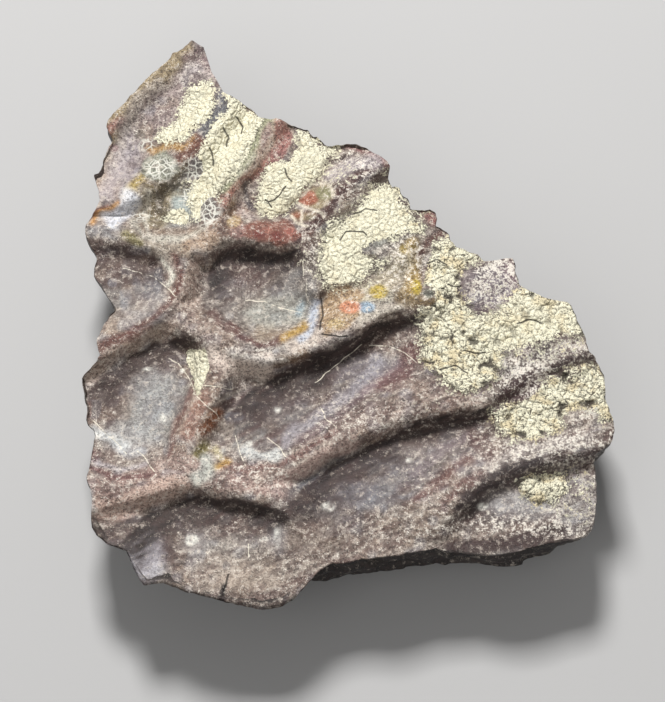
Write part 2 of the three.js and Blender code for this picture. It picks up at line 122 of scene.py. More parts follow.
# Hollows filled with cemented sand
CRUSTS = [
    # top left hollow
    [[-20.2, 37.3], [-22.2, 36.8], [-23.5, 36.2], [-24.2, 34], [-25, 32], [-25.2, 30.6], [-26.5, 29.7],
        [-27.7, 29], [-28.3, 27.6], [-26.2, 27], [-24.5, 27.2], [-23.2, 28], [-22.3, 29.3], [-20, 31.2],
        [-19.5, 32.5], [-19.4, 35.5]],
    # second hollow
    [[-18, 35.4], [-15, 33.6], [-11.8, 30.8], [-13, 28.5], [-14.5, 26], [-15.8, 24], [-16.8, 21.8],
        [-18.5, 19], [-19.5, 15.5], [-21, 13.9], [-23.4, 13.8], [-23.6, 16.5], [-23.2, 19], [-23.6, 21],
        [-22.5, 24.5], [-21.3, 26.5], [-20.5, 28.2], [-20, 29.9], [-17.6, 32.5]],
    # third hollow
    [[-7.2, 29.3], [-5.8, 29.2], [-4.5, 27.8], [-2.5, 26.6], [-1.9, 25.5], [-2.4, 24], [-3.2, 22.3],
        [-4.3, 20.8], [-5.6, 19.9], [-6.6, 18.6], [-7.8, 17.5], [-8.6, 16.1], [-10, 15.6], [-11.5, 15.3],
        [-12.8, 15.9], [-13.4, 17], [-13, 20], [-12.6, 21.2], [-11.8, 22.8], [-11.3, 24.1], [-9.8, 24.3],
        [-8.4, 24.3], [-7.3, 26.5], [-7.6, 28.2]],
    # fourth hollow, worn thin
    [[-4.3, 5.5], [-4.6, 8], [-4, 12], [-2.5, 15], [-0.5, 17.5], [1.5, 19.5], [3.5, 20.6], [6.5, 20.6],
        [8.5, 19], [10, 16.8], [11.5, 14], [10.5, 11.5], [9.5, 9], [8, 6], [5.5, 4], [2, 4.5], [-1, 4],
        [-3, 4.2]],
    # thick crust of the right side
    [[10.2, 0.5], [10.6, -4], [10.6, -7], [12.5, -8.7], [14.5, -11], [16.5, -12], [20, -10.8],
        [23, -8.5], [27, -5.8], [31, -4], [35, -3.5], [34, 2], [30, 4], [25, 5], [22, 1.5], [18.5, 1],
        [16.5, 3], [16, 6], [17.5, 8.3], [19.5, 9], [17, 11], [14.8, 12.2], [12.8, 11.5], [11.5, 8],
        [11, 4]],
    # right corner
    [[20.3, -14.5], [20.3, -16], [21.5, -18], [23, -19.7], [27, -19.5], [31, -17.5], [35, -16.5],
        [39, -15.5], [38, -10], [36, -8], [34.5, -7.3], [31, -8.2], [28, -9.8], [25, -12],
        [22.5, -13.2]],
    # lower right hollow
    [[24.5, -24.7], [30, -24.3], [31, -26], [29.5, -28.7], [26.5, -28.5], [24.5, -27]],
    # drop on the stem ridge
    [[-22.8, -5.8], [-22, -5.3], [-20.7, -5.4], [-20.2, -6.2], [-20, -8.2], [-20.4, -9.8],
        [-21.2, -11.9], [-21.8, -10.8], [-22.4, -7.5]],
]


def crust_at(x, y):
    """How far inside the nearest patch of crust each place is."""
    depth = np.full(x.shape, -9.0)
    for loop in CRUSTS:
        depth = np.maximum(depth, inside(loop, x, y))
    return depth


# Ridges: how wide the slope is on either side, and points of the top line with their heights
CRESTS = [
    # between the two upper left hollows
    dict(left=4.5, right=3.8, line=[[-38, 17.6, 15.3], [-33, 18.6, 15.8], [-29.5, 20.5, 16],
        [-26.5, 22.5, 16.3], [-23, 26, 16.6], [-21, 28.5, 16.5], [-18, 33, 16.1], [-17, 36, 15.6]]),
    # grey green ridge, second from the left
    dict(left=3.4, right=3.4, line=[[-20, 13.5, 16], [-17.5, 20.5, 16.5], [-15.5, 24, 16.7],
        [-12.5, 28.5, 16.5], [-10.5, 32, 16]]),
    # dark red ridge, third from the left
    dict(left=3.4, right=3.8, line=[[-6.3, 12.8, 16.4], [-4.5, 14.6, 16.4], [-3, 16.5, 16.6],
        [-1.5, 18.5, 16.8], [0, 20.3, 17], [2.5, 22.5, 17], [5, 24.5, 16.4], [7, 26, 16]]),
    # belt under the upper row of hollows
    dict(left=3.6, right=4.6, line=[[-39, 13.4, 15.3], [-34, 12.9, 15.8], [-30, 12.6, 16.1],
        [-27, 11.4, 16.3], [-24, 10.3, 16.6], [-21.5, 11.3, 16.7], [-18.5, 13.4, 16.8],
        [-14, 13.1, 16.8], [-10, 12.4, 16.6], [-6.3, 12.2, 16.4], [-4.6, 9.5, 15.9], [-4.2, 5.5, 15.4]]),
    # fork that drops from the belt to the left edge
    dict(left=4, right=4.8, line=[[-24, 10.3, 16.6], [-24.2, 7, 16.5], [-24.7, 3.8, 16.5],
        [-27, 0.7, 16.5], [-30, -1.6, 16.4], [-34, -4, 16.1], [-39, -7, 15.6]]),
    # high ochre ridge over the middle groove
    dict(left=4.6, right=4.6, line=[[-26.5, 0.8, 16.5], [-23, -0.8, 16.6], [-19, -3.2, 16.7],
        [-15, -5.1, 16.8], [-10.5, -5.8, 16.9], [-6, -4.4, 17], [-1.5, -2.4, 17.2], [2, -0.4, 17.2],
        [5, 1.6, 17.2], [8, 2.4, 17.1], [12, 2.8, 16.8]]),
    # stem between the lower left hollow and the middle groove
    dict(left=4.2, right=4.2, line=[[-19, -3.4, 16.7], [-18.3, -7.5, 16.5], [-19.3, -11, 16.3],
        [-21.5, -15.5, 16.2], [-22.8, -19.5, 16.2], [-23.5, -23.8, 16.3]]),
    # long ridge from the left edge to the right corner
    dict(left=6.4, right=4.6, line=[[-39, -27.6, 15.2], [-34, -26.8, 15.8], [-30, -25.7, 16.2],
        [-24, -24.2, 16.4], [-17, -24.4, 16.3], [-10, -22.8, 16.3], [-4, -19.3, 16.4], [2, -16.3, 16.6],
        [8, -14.2, 16.8], [14, -12.9, 16.9], [19, -12, 17], [23, -9.4, 17.1], [28, -6.6, 17],
        [36, -4.2, 16.4]]),
    # saddle between the two bottom hollows
    dict(left=4, right=4.4, line=[[-17, -25.4, 16.2], [-11, -26.6, 16], [-6.8, -29, 15.8],
        [-3.6, -32, 15.4]]),
    # ridge over the lower right hollow
    dict(left=5.4, right=4.6, line=[[11.5, -30.5, 15.4], [15, -27, 16], [18.2, -24.3, 16.4],
        [22, -22.4, 16.7], [27, -20.9, 16.8], [32, -19.5, 16.7], [39, -17.4, 16.2]]),
    # upper left rim of the plate
    dict(left=3, right=3.6, line=[[-37, 28, 15.6], [-34.6, 31.2, 15.9], [-30, 36.4, 16],
        [-25.6, 41.2, 16], [-22.5, 44, 15.8]]),
]
# Broad swellings of the ground: centre, reach and height
RISES = [
    [-28, 31, 9, 14.3], [-22, 37, 7, 14.8], [-24, 19, 6, 14.2], [-20, 26, 6, 14.8], [-9, 21, 6, 14.8],
    [-12, 26, 5, 14.9], [3, 13, 8, 15.4], [9, 10, 6, 15.8], [0, 6.5, 5, 15], [17, -3, 8, 16.1],
    [19, 6, 7, 16.2], [28, 0, 8, 15.9], [15, -8, 5, 15.9], [29, -13, 6, 15.4], [34, -14, 6, 15.2],
    [23, -17, 5, 14.6], [-6, -37, 8, 14.9], [6, -33, 8, 14.9], [-30, -37, 6, 15], [-18, -40, 7, 14.8],
    [26, -33, 7, 14.6], [32, -27, 5, 14.4], [-35, 4, 6, 14], [-37, -20, 5, 14.2], [15, -21.5, 5, 14.5],
    [24, -26.5, 4, 14.2],
]


def relief(x, y):
    """Height of the face over every place: hollows, ridges, crust and the grain of the bone."""
    ground = np.zeros(x.shape)
    for cx, cy, reach, top in RISES:
        d2 = ((x - cx) ** 2 + (y - cy) ** 2) / reach ** 2
        ground += ((top - HOLLOW) * np.exp(-d2)) ** 3
    ground = HOLLOW + np.cbrt(ground)
    ridge = np.zeros(x.shape)
    growth = np.zeros(x.shape)
    for crest in CRESTS:
        line = crest["line"]
        far, side, at = along(line, x, y)
        height = np.interp(at, range(len(line)), [p[2] for p in line])
        reach = np.where(side > 0, crest["left"], crest["right"])
        slope = 1 - smooth((far - CREST_TOP) / (reach - CREST_TOP))
        ridge += (np.maximum(0, height - ground) * slope) ** 5
        strength = 0.5 + 0.5 * field(x / 3, y / 3, 19)
        lines = np.sin(far * 4.4 + 1.6 * field(x / 5, y / 5, 17)) * strength
        growth = np.maximum(growth, lines * (1 - smooth(far / 5.5)))
    z = ground + ridge ** 0.2
    cover = smooth(crust_at(x, y) / 1.4 + 0.2)
    z += CRUST_THICK * cover * (0.7 + 0.3 * field(x / 2.6, y / 2.6, 3))
    z += 0.3 * field(x / 6, y / 6, 1) + 0.14 * field(x / 2.2, y / 2.2, 7)
    z += (1 - cover) * (0.1 * growth + 0.12 * field(x / 1.4, y / 1.4, 23))
    coarse = smooth((x - 6) / 5)
    wide = x + 0.4 * field(x / 1.1, y / 1.1, 25)
    grains = 0.65 * lumps(wide, y, 1.5, 3) + 0.35 * lumps(wide, y, 0.8, 5)
    z += cover * (0.25 + 0.75 * coarse) * (grains - 0.5)
    z += (1 - cover) * (0.05 * field(x / 0.9, y / 0.9, 11) + 0.03 * field(x / 0.5, y / 0.5, 13))
    worn = np.where(z > WORN_FROM, WORN_FROM + (z - WORN_FROM) * 0.84, z)
    return worn, growth, 1 - grains


# The outline of the plate is a break all round, with chips out of it and no smooth stretch.
# The face is laid out in rings that grow from the middle to it.
EDGE = [
    (32.1, -33.7), (33.3, -33.4), (34.4, -32.5), (34.8, -31.3), (35, -29.4), (35.2, -27.5), (35.3, -26),
    (35.2, -24), (35, -22.5), (35.1, -21), (35.7, -20.4), (36.5, -19.9), (37.3, -19.3), (37.7, -18.4),
    (37.9, -17.1), (37.7, -16), (37.3, -14.4), (36.9, -13.3), (36.9, -12.1), (36.8, -9.2), (36.3, -8.1),
    (35.4, -6.2), (34.6, -5.5), (34.3, -4.3), (34, -2.9), (33.4, -1.4), (32.9, 0), (32.4, 1.6),
    (31.9, 2.1), (29.5, 2.5), (28.5, 2.8), (27.1, 3.6), (26, 4), (24.9, 4.8), (24.8, 5.5), (24.5, 7.1),
    (24.4, 8.3), (24.1, 8.9), (22.9, 8.9), (21.7, 8.6), (19.9, 8.5), (19.4, 9), (19, 9.6), (17.9, 9.8),
    (17, 10.4), (15.9, 10.7), (15.1, 11.8), (14.9, 12.7), (14.1, 13.4), (13.1, 14.1), (13.3, 15.2),
    (13, 16.1), (12.2, 16.6), (11.4, 16.4), (10, 16.6), (9.4, 16.7), (9.2, 17.5), (8.9, 18.4), (8, 19.1),
    (7.8, 20), (7.1, 20.4), (6.7, 20.2), (6.4, 20.7), (6.1, 21.7), (6.2, 22.7), (6.4, 23.6), (5.9, 24.3),
    (4.9, 25.2), (3.7, 25.7), (2.6, 26.5), (1.4, 27), (0, 26.9), (-2.6, 26.7), (-3.2, 26.9),
    (-4.4, 28.1), (-4.9, 28), (-5.3, 28.6), (-5.7, 29.3), (-6.8, 29.6), (-8, 29.9), (-8.9, 30.5),
    (-9.7, 31), (-10.4, 31.1), (-11.1, 30.9), (-12.9, 31.3), (-13.7, 32.3), (-14.7, 33), (-15.9, 34.1),
    (-17.2, 34.9), (-18.2, 35.3), (-19, 36.9), (-19.5, 37.9), (-20.1, 38.8), (-20.5, 40.2),
    (-21, 41.8), (-21.3, 42.8), (-22.2, 43.3), (-23, 43.9), (-24, 42.8), (-25, 42), (-25.9, 41.7),
    (-26.3, 40.8), (-27, 40), (-28, 39.1), (-28.8, 38.4), (-30, 37.2), (-30.7, 36.2), (-31.3, 35.4),
    (-32.1, 34.8), (-32.2, 34.4), (-33, 33.5), (-34, 32.4), (-34.5, 31.8), (-35, 31.2), (-35.3, 30.4),
    (-35.4, 29.7), (-35.2, 29.3), (-35, 28.8), (-34.6, 27.9), (-34.5, 27.6), (-35, 26.8), (-35.7, 25.3),
    (-36.1, 23.6), (-36.5, 22.2), (-37.3, 22.1), (-36.9, 21), (-36.5, 20.1), (-36.2, 19), (-36.1, 18.2),
    (-36.3, 17.4), (-36.9, 16.1), (-37.6, 15), (-38, 14.2), (-38.1, 13.1), (-37.9, 12.1), (-37.5, 11),
    (-37, 10.1), (-36.5, 9.3), (-36.5, 8.5), (-36.7, 7.4), (-36.7, 6.1), (-36.4, 5.5), (-35.8, 4.9),
    (-35.3, 4), (-34.7, 3), (-34.1, 2.1), (-33.5, 1.2), (-33.8, 0.6), (-34.4, -0.3), (-34.9, -1.2),
    (-35.5, -2.4), (-35.9, -3.6), (-35.9, -4.3), (-35.7, -5.5), (-35.4, -6), (-35.9, -6.9),
    (-36.6, -7.8), (-37.4, -8.7), (-37.9, -9.5), (-38.1, -10.4), (-38, -11.2), (-37.7, -12),
    (-37.6, -12.9), (-37.3, -13.9), (-37.3, -15.9), (-37, -16.7), (-36.2, -17.5), (-35.9, -18.4),
    (-36.1, -19), (-36.2, -20.4), (-36.4, -22.1), (-36.5, -23.3), (-36.9, -24.5), (-36.6, -25.2),
    (-36.2, -26), (-35.9, -28), (-36.1, -30), (-36, -31.9), (-35.3, -33.1), (-34.5, -33.8),
    (-33.1, -34.5), (-31.8, -35), (-31, -35.3), (-30.6, -36.1), (-30.1, -37.2), (-29.7, -38.2),
    (-29.3, -39.2), (-28.5, -40.3), (-27.4, -40.1), (-25.8, -40), (-24.4, -40.5), (-22.9, -41.1),
    (-20.9, -41.6), (-19, -42.1), (-17.2, -42.6), (-15.5, -43), (-13.7, -43.5), (-12, -43.9),
    (-10.8, -43.8), (-9, -43.3), (-7.6, -42.4), (-6.2, -40.9), (-4.8, -39.1), (-3.5, -37.8), (-2, -37.1),
    (-0.5, -37.2), (0.8, -36.8), (2.3, -36.5), (4.3, -36.2), (6.4, -36), (8.5, -35.6), (10.5, -35.3),
    (12.3, -34.9), (13.4, -35.5), (15.2, -35.6), (17.5, -35.9), (19.5, -36.1), (21.8, -35.9),
    (23.4, -35.5), (25.1, -35), (27.1, -34.5), (28.7, -34.1), (31.3, -33.7),
]
MIDDLE = np.array([-9.0, -5.0])
RINGS = 132
AROUND = 8 * RINGS
EDGE_INSET = 0.1  # keeps the rough rim inside the outline
SOFTEN_STEPS = 28  # rim steps each way over which the underside smooths the outline


def walk(points, count):
    """The closed edge line in equal steps."""
    loop = np.array(points + points[:1])
    steps = np.hypot(*np.diff(loop, axis=0).T)
    passed = np.concatenate([[0], np.cumsum(steps)])
    goal = np.linspace(0, passed[-1], count, endpoint=False)
    return np.stack([np.interp(goal, passed, loop[:, k]) for k in (0, 1)], axis=1)


rim = walk(EDGE, AROUND)
wobble = 0.12 * field(rim[:, 0] / 0.7, rim[:, 1] / 0.7, 30)
outward = rim - MIDDLE
outward /= np.linalg.norm(outward, axis=1, keepdims=True)
rim = rim - outward * (EDGE_INSET + wobble[:, None])
padded = np.concatenate([rim[-SOFTEN_STEPS:], rim, rim[:SOFTEN_STEPS]])
kernel = np.ones(2 * SOFTEN_STEPS + 1) / (2 * SOFTEN_STEPS + 1)
soft = np.stack([np.convolve(padded[:, k], kernel, "valid") for k in (0, 1)], axis=1)

flat = [MIDDLE[None]]
ring_start = [0]
for ring in range(1, RINGS + 1):
    ring_start.append(1 + 4 * ring * (ring - 1))
    at = np.arange(8 * ring) * RINGS / ring
    low = np.floor(at).astype(int)
    high = (low + 1) % AROUND
    share = ring / RINGS
    sharp = float(smooth((share - 0.45) / 0.55))
    line = soft + (rim - soft) * sharp
    edge = line[low] + (line[high] - line[low]) * (at - low)[:, None]
    flat.append(MIDDLE + (edge - MIDDLE) * share)
seen = np.concatenate(flat)
height, growth, gaps = relief(seen[:, 0], seen[:, 1])
face = np.column_stack([seen[:, 0], seen[:, 1] - (height - FACE) * LEAN, height])

# The rings are joined as a square net, so each net point is found by its ring and its step in it
steps = np.arange(-RINGS, RINGS + 1)
across, up = np.meshgrid(steps, steps, indexing="ij")
ring = np.maximum(abs(across), abs(up))
step_in_ring = np.where((across == ring) & (up < ring), up + ring,
    np.where((up == ring) & (across > -ring), 3 * ring - across,
    np.where((across == -ring) & (up > -ring), 5 * ring - up, 7 * ring + across)))
ids = np.where(ring == 0, 0, np.array(ring_start)[ring] + step_in_ring)
quads = np.stack([ids[:-1, :-1], ids[1:, :-1], ids[1:, 1:], ids[:-1, 1:]], axis=-1).reshape(-1, 4)

# The broken sides and the back: rough breaks through layered bone, upright along the near side and
# undercut at its left end. The back rests on a flat foot. Rows of [height, distance in from the edge].
ROWS_PLAIN = [
    [15.3, -0.02], [13.6, -0.1], [11.6, 0.4], [9.4, 0.5],
    [7.2, 1.6], [4.6, 3.4], [2.7, 7.5], [1.6, 13], [0.9, 19],
]
ROWS_UPRIGHT = [
    [15.2, -0.02], [13.3, 0.1], [11.3, -0.3], [8.3, -0.4],
    [6.2, 1.2], [4, 3.2], [2.4, 7], [1.5, 12], [0.8, 18],
]
ROWS_UNDERCUT = [
    [15.2, 0.1], [13.8, 1.2], [11.8, 2.4], [9.6, 3.2],
    [7.2, 4.4], [4.8, 6.6], [2.8, 10], [1.6, 14], [0.9, 19],
]
FOOT_REACH = 9  # of the flat foot from its middle, besides its share of the way to the edge
FOOT_SHARE = 0.2
FOOT_SHIFT = [4, 0]
LAST_ROW = len(ROWS_PLAIN) - 1
LOWEST = 0.25  # of the rough back, beside the foot


def band(v, start, end, width):
    """1 between start and end, eased over width."""
    return smooth((v - start) / width) * smooth((end - v) / width)


rim_x, rim_y = rim.T
top = face[ring_start[RINGS]:]
upright = band(rim_x, -8, 32, 5) * smooth((-31 - rim_y) / 2)
undercut = smooth((-28 - rim_y) / 4) * smooth((-2 - rim_x) / 6)
plain = 1 - np.clip(upright + undercut, 0, 1)
total = upright + undercut + plain
to_middle = np.linalg.norm(top[:, :2] - MIDDLE, axis=1)
foot_share = FOOT_REACH / np.linalg.norm(soft - MIDDLE, axis=1) + FOOT_SHARE


def side_row(depth):
    """The row of places at a depth from 0 at the rim to 8 at the edge of the foot."""
    n = min(int(depth), LAST_ROW - 1)
    t = depth - n

    def blend(rows, k):
        return rows[n][k] + (rows[n + 1][k] - rows[n][k]) * t

    drop, cut = [(blend(ROWS_UPRIGHT, k) * upright + blend(ROWS_UNDERCUT, k) * undercut
        + blend(ROWS_PLAIN, k) * plain) / total for k in (0, 1)]
    fade = min(1, depth)
    if depth < 1:
        drop = top[:, 2] + (drop - top[:, 2]) * depth
    rough = 0.7 * field(rim_x / 2.9, rim_y / 2.9, depth * 1.9 + 20)
    rough += 0.25 * field(rim_x / 1.1, rim_y / 1.1, depth * 3 + 50)
    ledge = 0.3 * np.sin(drop * 2.6 + 2.2 * field(rim_x / 9, rim_y / 9, 70))
    cut = cut + fade * np.maximum(rough + ledge + 0.35, 0.08 - 0.2 * upright)
    drop = drop + fade * 0.7 * field(rim_x / 4.3, rim_y / 4.3, depth * 0.8 + 40)
    blunt = float(smooth((depth - 1) / 6))
    base = top[:, :2] + (soft - rim) * blunt
    share = (1 - cut / to_middle)[:, None]
    return np.column_stack([MIDDLE + (base - MIDDLE) * share, np.maximum(drop, LOWEST)])


DEPTHS = np.linspace(0.3, 4.5, 16)
rows = [side_row(d) for d in DEPTHS]
back = [side_row(d)[::4] for d in (4.8, 5.2, 5.6, 6, 6.4, 6.8, 7.2, 7.6, LAST_ROW)]
foot_flat = (MIDDLE + (soft - MIDDLE) * foot_share[:, None] + FOOT_SHIFT)[::4]
last = back[-1]
for t in (0.35, 0.7, 0.94, 1):
    ground = last[:, 2] * (1 - t) ** 1.2
    back.append(np.column_stack([last[:, :2] + (foot_flat - last[:, :2]) * t, ground]))
foot_middle = MIDDLE + FOOT_SHIFT
for t in (0.75, 0.5, 0.25):
    back.append(np.column_stack([foot_middle + (foot_flat - foot_middle) * t, 0 * ground]))
back.append(np.array([[*foot_middle, 0]]))

places = np.concatenate([face] + rows + back)
polygons = [tuple(q) for q in quads]
upper = np.arange(AROUND) + ring_start[RINGS]
start = len(face)
for row in rows:
    lower = np.arange(AROUND) + start
    start += AROUND
    polygons += list(zip(upper, lower, np.roll(lower, -1), np.roll(upper, -1)))
    upper = lower
for n, row in enumerate(back):
    lower = np.arange(len(row)) + start
    start += len(row)
    if n == 0:
        # four steps above meet one step below
        after = np.roll(lower, -1)
        for s in range(len(lower)):
            a = [upper[(4 * s + k) % AROUND] for k in range(5)]
            polygons += [(a[0], lower[s], a[1]), (a[1], lower[s], a[2]), (a[2], lower[s], after[s]),
                (a[2], after[s], a[3]), (a[3], after[s], a[4])]
    elif len(row) == 1:
        polygons += [(a, lower[0], b) for a, b in zip(upper, np.roll(upper, -1))]
    else:
        polygons += list(zip(upper, lower, np.roll(lower, -1), np.roll(upper, -1)))
    upper = lower

# where each place is seen on the plane of the face
sx = places[:, 0]
sy = places[:, 1] + (places[:, 2] - FACE) * LEAN
on_face = np.zeros(len(places))
on_face[:len(face)] = 1
for n, depth in enumerate(DEPTHS):
    on_face[len(face) + n * AROUND:len(face) + (n + 1) * AROUND] = 1 - smooth(depth / 0.9)
growth = np.append(growth, np.zeros(len(places) - len(face)))
gaps = np.append(gaps, np.zeros(len(places) - len(face)))

# The colours of the bone, laid on in thin layers from the ground tone up. Iron stained it maroon and
# ochre, the floors stayed grey, and the ridges wore pale.
def tone(r, g, b):
    """A colour given from 0 to 255, in the even scale that shaders use."""
    c = np.array([r, g, b]) / 255
    return np.where(c > 0.04045, ((c + 0.055) / 1.055) ** 2.4, c / 12.92)


BONE = tone(148, 134, 124)
paint = np.tile(BONE, (len(places), 1))


def lay(colour, cover):
    """One layer of colour, as thick as cover says at each place."""
    cover = np.clip(cover, 0, 1)[:, None]
    paint[:] = paint * (1 - cover) + tone(*colour) * cover


# strokes wander a little, as stains do
drift_x = field(sx / 2, sy / 2, 80)
drift_y = field(sx / 2, sy / 2, 90)


def stroke(line, width, soften):
    """1 along a line, to width on both sides of it."""
    far = along(line, sx + 0.5 * drift_x, sy + 0.5 * drift_y)[0]
    return 1 - smooth((far - width + soften / 2) / soften)


def patch(loop, soften):
    """1 inside a closed outline."""
    wander = 0.5 * field(sx / 1.6, sy / 1.6, 84)
    return smooth((inside(loop, sx, sy) + wander) / soften + 0.5)


def spot(cx, cy, rx, ry, soften):
    """1 inside an oval, given by its centre and half sizes."""
    d = np.hypot((sx - cx) / rx, (sy - cy) / ry)
    return 1 - smooth((d - 1) * min(rx, ry) / soften + 0.5)


def wall(line, reach):
    """Dark below a line, sharp at the line and fading over reach below it."""
    far, side, at = along(line, sx + 0.5 * drift_x, sy + 0.4 * drift_y)
    ends = smooth(at / 0.7) * smooth((len(line) - 1 - at) / 0.7)
    wide = reach * (1 + 0.35 * field(sx / 5, sy / 5, 47))
    ragged = far / wide + 0.12 * field(sx / 1.2, sy / 1.2, 44) + 0.07 * field(sx / 0.5, sy / 0.5, 46)
    rise = smooth(0.3 - far * side / (0.55 + 0.25 * field(sx / 4, sy / 4, 49)))
    return rise * (1 - smooth((ragged - 0.3) / 0.8)) * (0.25 + 0.75 * ends)


# the broad tone of the ground, patch by patch: centre, half sizes, colour
for cx, cy, rx, ry, colour in [
    (-23, 38.5, 4, 5, (212, 196, 190)), (-27, 32.3, 4, 3.4, (162, 146, 142)),
    (-33, 24, 3.6, 5, (172, 164, 168)), (-36, 20, 1.8, 4, (156, 124, 122)),
    (-27, 17, 4, 4, (140, 128, 100)), (-23.6, 17.6, 2.4, 3.4, (176, 184, 178)),
    (-32, 6, 6, 5, (104, 95, 90)), (-31, 1.5, 5, 2.4, (146, 141, 136)), (-13, 3, 9, 5, (134, 126, 120)),
    (-9, 1.6, 5, 2, (160, 163, 162)), (-28, -13.5, 6.4, 5.6, (160, 158, 153)),
    (-34, -13, 3, 4, (106, 96, 94)), (-12, -15.5, 7, 5, (102, 98, 97)),
    (-12.5, -20.3, 5, 2.2, (172, 171, 166)), (1, -9, 7, 3.4, (142, 142, 143)),
    (1, -25, 9, 4.5, (126, 123, 122)), (-5, -27, 5, 3, (126, 120, 118)),
    (14, -21.5, 7, 4, (128, 121, 119)), (-21, -33, 7, 2.6, (116, 109, 105)),
    (-28.5, -35.6, 3, 3.6, (172, 172, 178)), (-16, -37, 9, 3.6, (138, 128, 119)),
    (2, -33, 13, 3.6, (124, 110, 102)), (23, -29, 6, 2.6, (166, 168, 168)),
    (23, -34.2, 9, 1, (96, 70, 68)), (31, -28, 5, 5, (192, 188, 184)), (12, -32, 7, 3, (150, 138, 128)),
    (28, -5.6, 7, 2.4, (150, 142, 134)), (21, 4.6, 4.6, 3.6, (142, 132, 138)),
    (28, -21, 8, 2, (146, 140, 136)), (3, 9, 8, 9, (156, 154, 132)), (14, -11, 6, 3, (128, 112, 106)),
]:
    lay(colour, spot(cx, cy, rx, ry, 3.4) * 0.92)
# pale worn ridges: line, half width, colour, strength
for line, width, colour, strength in [
    ([(-37, 13.4), (-33.5, 13.4)], 1.2, (168, 172, 174), 0.7),
    ([(-31, 12.6), (-27, 11), (-24.4, 10), (-22.6, 10.6)], 1.5, (182, 170, 152), 0.8),
    ([(-22.4, 10.8), (-19, 13), (-16.6, 15.4), (-15.2, 18)], 1.5, (184, 152, 118), 0.75),
    ([(-26, 2.6), (-29, 0), (-33, -2.6), (-36, -4)], 1.4, (190, 174, 158), 0.7),
    ([(-23.4, 8), (-23.2, 4), (-22.6, 0), (-20, -2.4), (-16.6, -4.8)], 1.6, (186, 166, 152), 0.8),
    ([(-16, -5.8), (-12, -6.2), (-8, -5.2), (-4, -4), (0, -2.6)], 1.3, (198, 192, 186), 0.85),
    ([(0, -2), (3, 0.6), (6, 2.6), (9, 3)], 1.0, (186, 180, 164), 0.8),
    ([(-19, -5), (-18.6, -9), (-20.4, -13), (-22.4, -17), (-23.4, -21)], 1.9, (190, 170, 152), 0.85),
    ([(-37, -26.6), (-33, -26.4), (-29, -25), (-24, -23.2), (-17, -24.4), (-12, -24.6)], 2.2,
        (194, 168, 156), 0.85),
    ([(-12, -24.6), (-8, -22.6), (-4, -20.2), (1, -17.6), (7, -15.4), (13, -13.6), (18, -13)], 1.8,
        (206, 184, 170), 0.8),
    ([(-8, -19.6), (-3, -16), (2, -12.8), (8, -11.6)], 2.0, (170, 152, 142), 0.6),
    ([(12, -27.4), (15, -24.6), (19, -21.8), (24, -20), (31, -18)], 1.8, (178, 164, 156), 0.7),
    ([(-32, -34), (-28, -30.4), (-24, -25.6)], 0.8, (170, 156, 142), 0.5),
    ([(-22, -36), (-12, -40), (-4, -36.4), (6, -34), (16, -33.4), (28, -32.6)], 1.8, (180, 164, 150),
        0.55),
]:
    lay(colour, stroke(line, width, 1.8) * strength)
upper_rim = [(-36.6, 18), (-34.4, 27), (-35, 30.6), (-30.6, 35.8), (-24, 42.4)]
lay((204, 186, 154), stroke(upper_rim, 1.5, 2) * 0.55)
lay((120, 86, 76), stroke([(-37.6, -8.4), (-34, -4.8), (-30, -2.2)], 1.2, 1.6) * 0.5)
# flecks: size, layer, colour, and how rare and how strong they are
for size, layer, colour, low, strength in [
    (2.6, 61, (98, 66, 62), 0.15, 0.3), (1.4, 67, (94, 66, 60), 0.25, 0.3),
    (2.1, 71, (186, 162, 138), 0.2, 0.25), (1.7, 76, (164, 170, 180), 0.25, 0.3),
    (0.95, 79, (54, 44, 42), 0.3, 0.3), (0.75, 83, (208, 200, 190), 0.35, 0.3),
]:
    lay(colour, smooth((field(sx / size, sy / size, layer) - low) / 0.35) * strength)
MAROON = (86, 60, 54)
lay(MAROON, smooth(growth * 1.8 - 0.3) * 0.5)
# streaks drawn out along the main ridges: width, length, layer, colour, how rare, how strong
down_ridge = sx * 0.88 + sy * 0.47
over_ridge = sy * 0.88 - sx * 0.47
for width, length, layer, colour, low, strength in [
    (0.55, 3.5, 101, (72, 52, 48), 0.15, 0.5), (0.4, 2.6, 104, (206, 196, 182), 0.25, 0.45),
    (0.9, 5, 107, (96, 62, 58), 0.2, 0.4), (0.3, 1.8, 110, (60, 46, 44), 0.3, 0.4),
]:
    streaks = smooth((field(down_ridge / length, over_ridge / width, layer) - low) / 0.4)
    lay(colour, streaks * strength * smooth((sx + 26) / 8))
# everything so far a little deeper
paint *= [0.87, 0.86, 0.86]
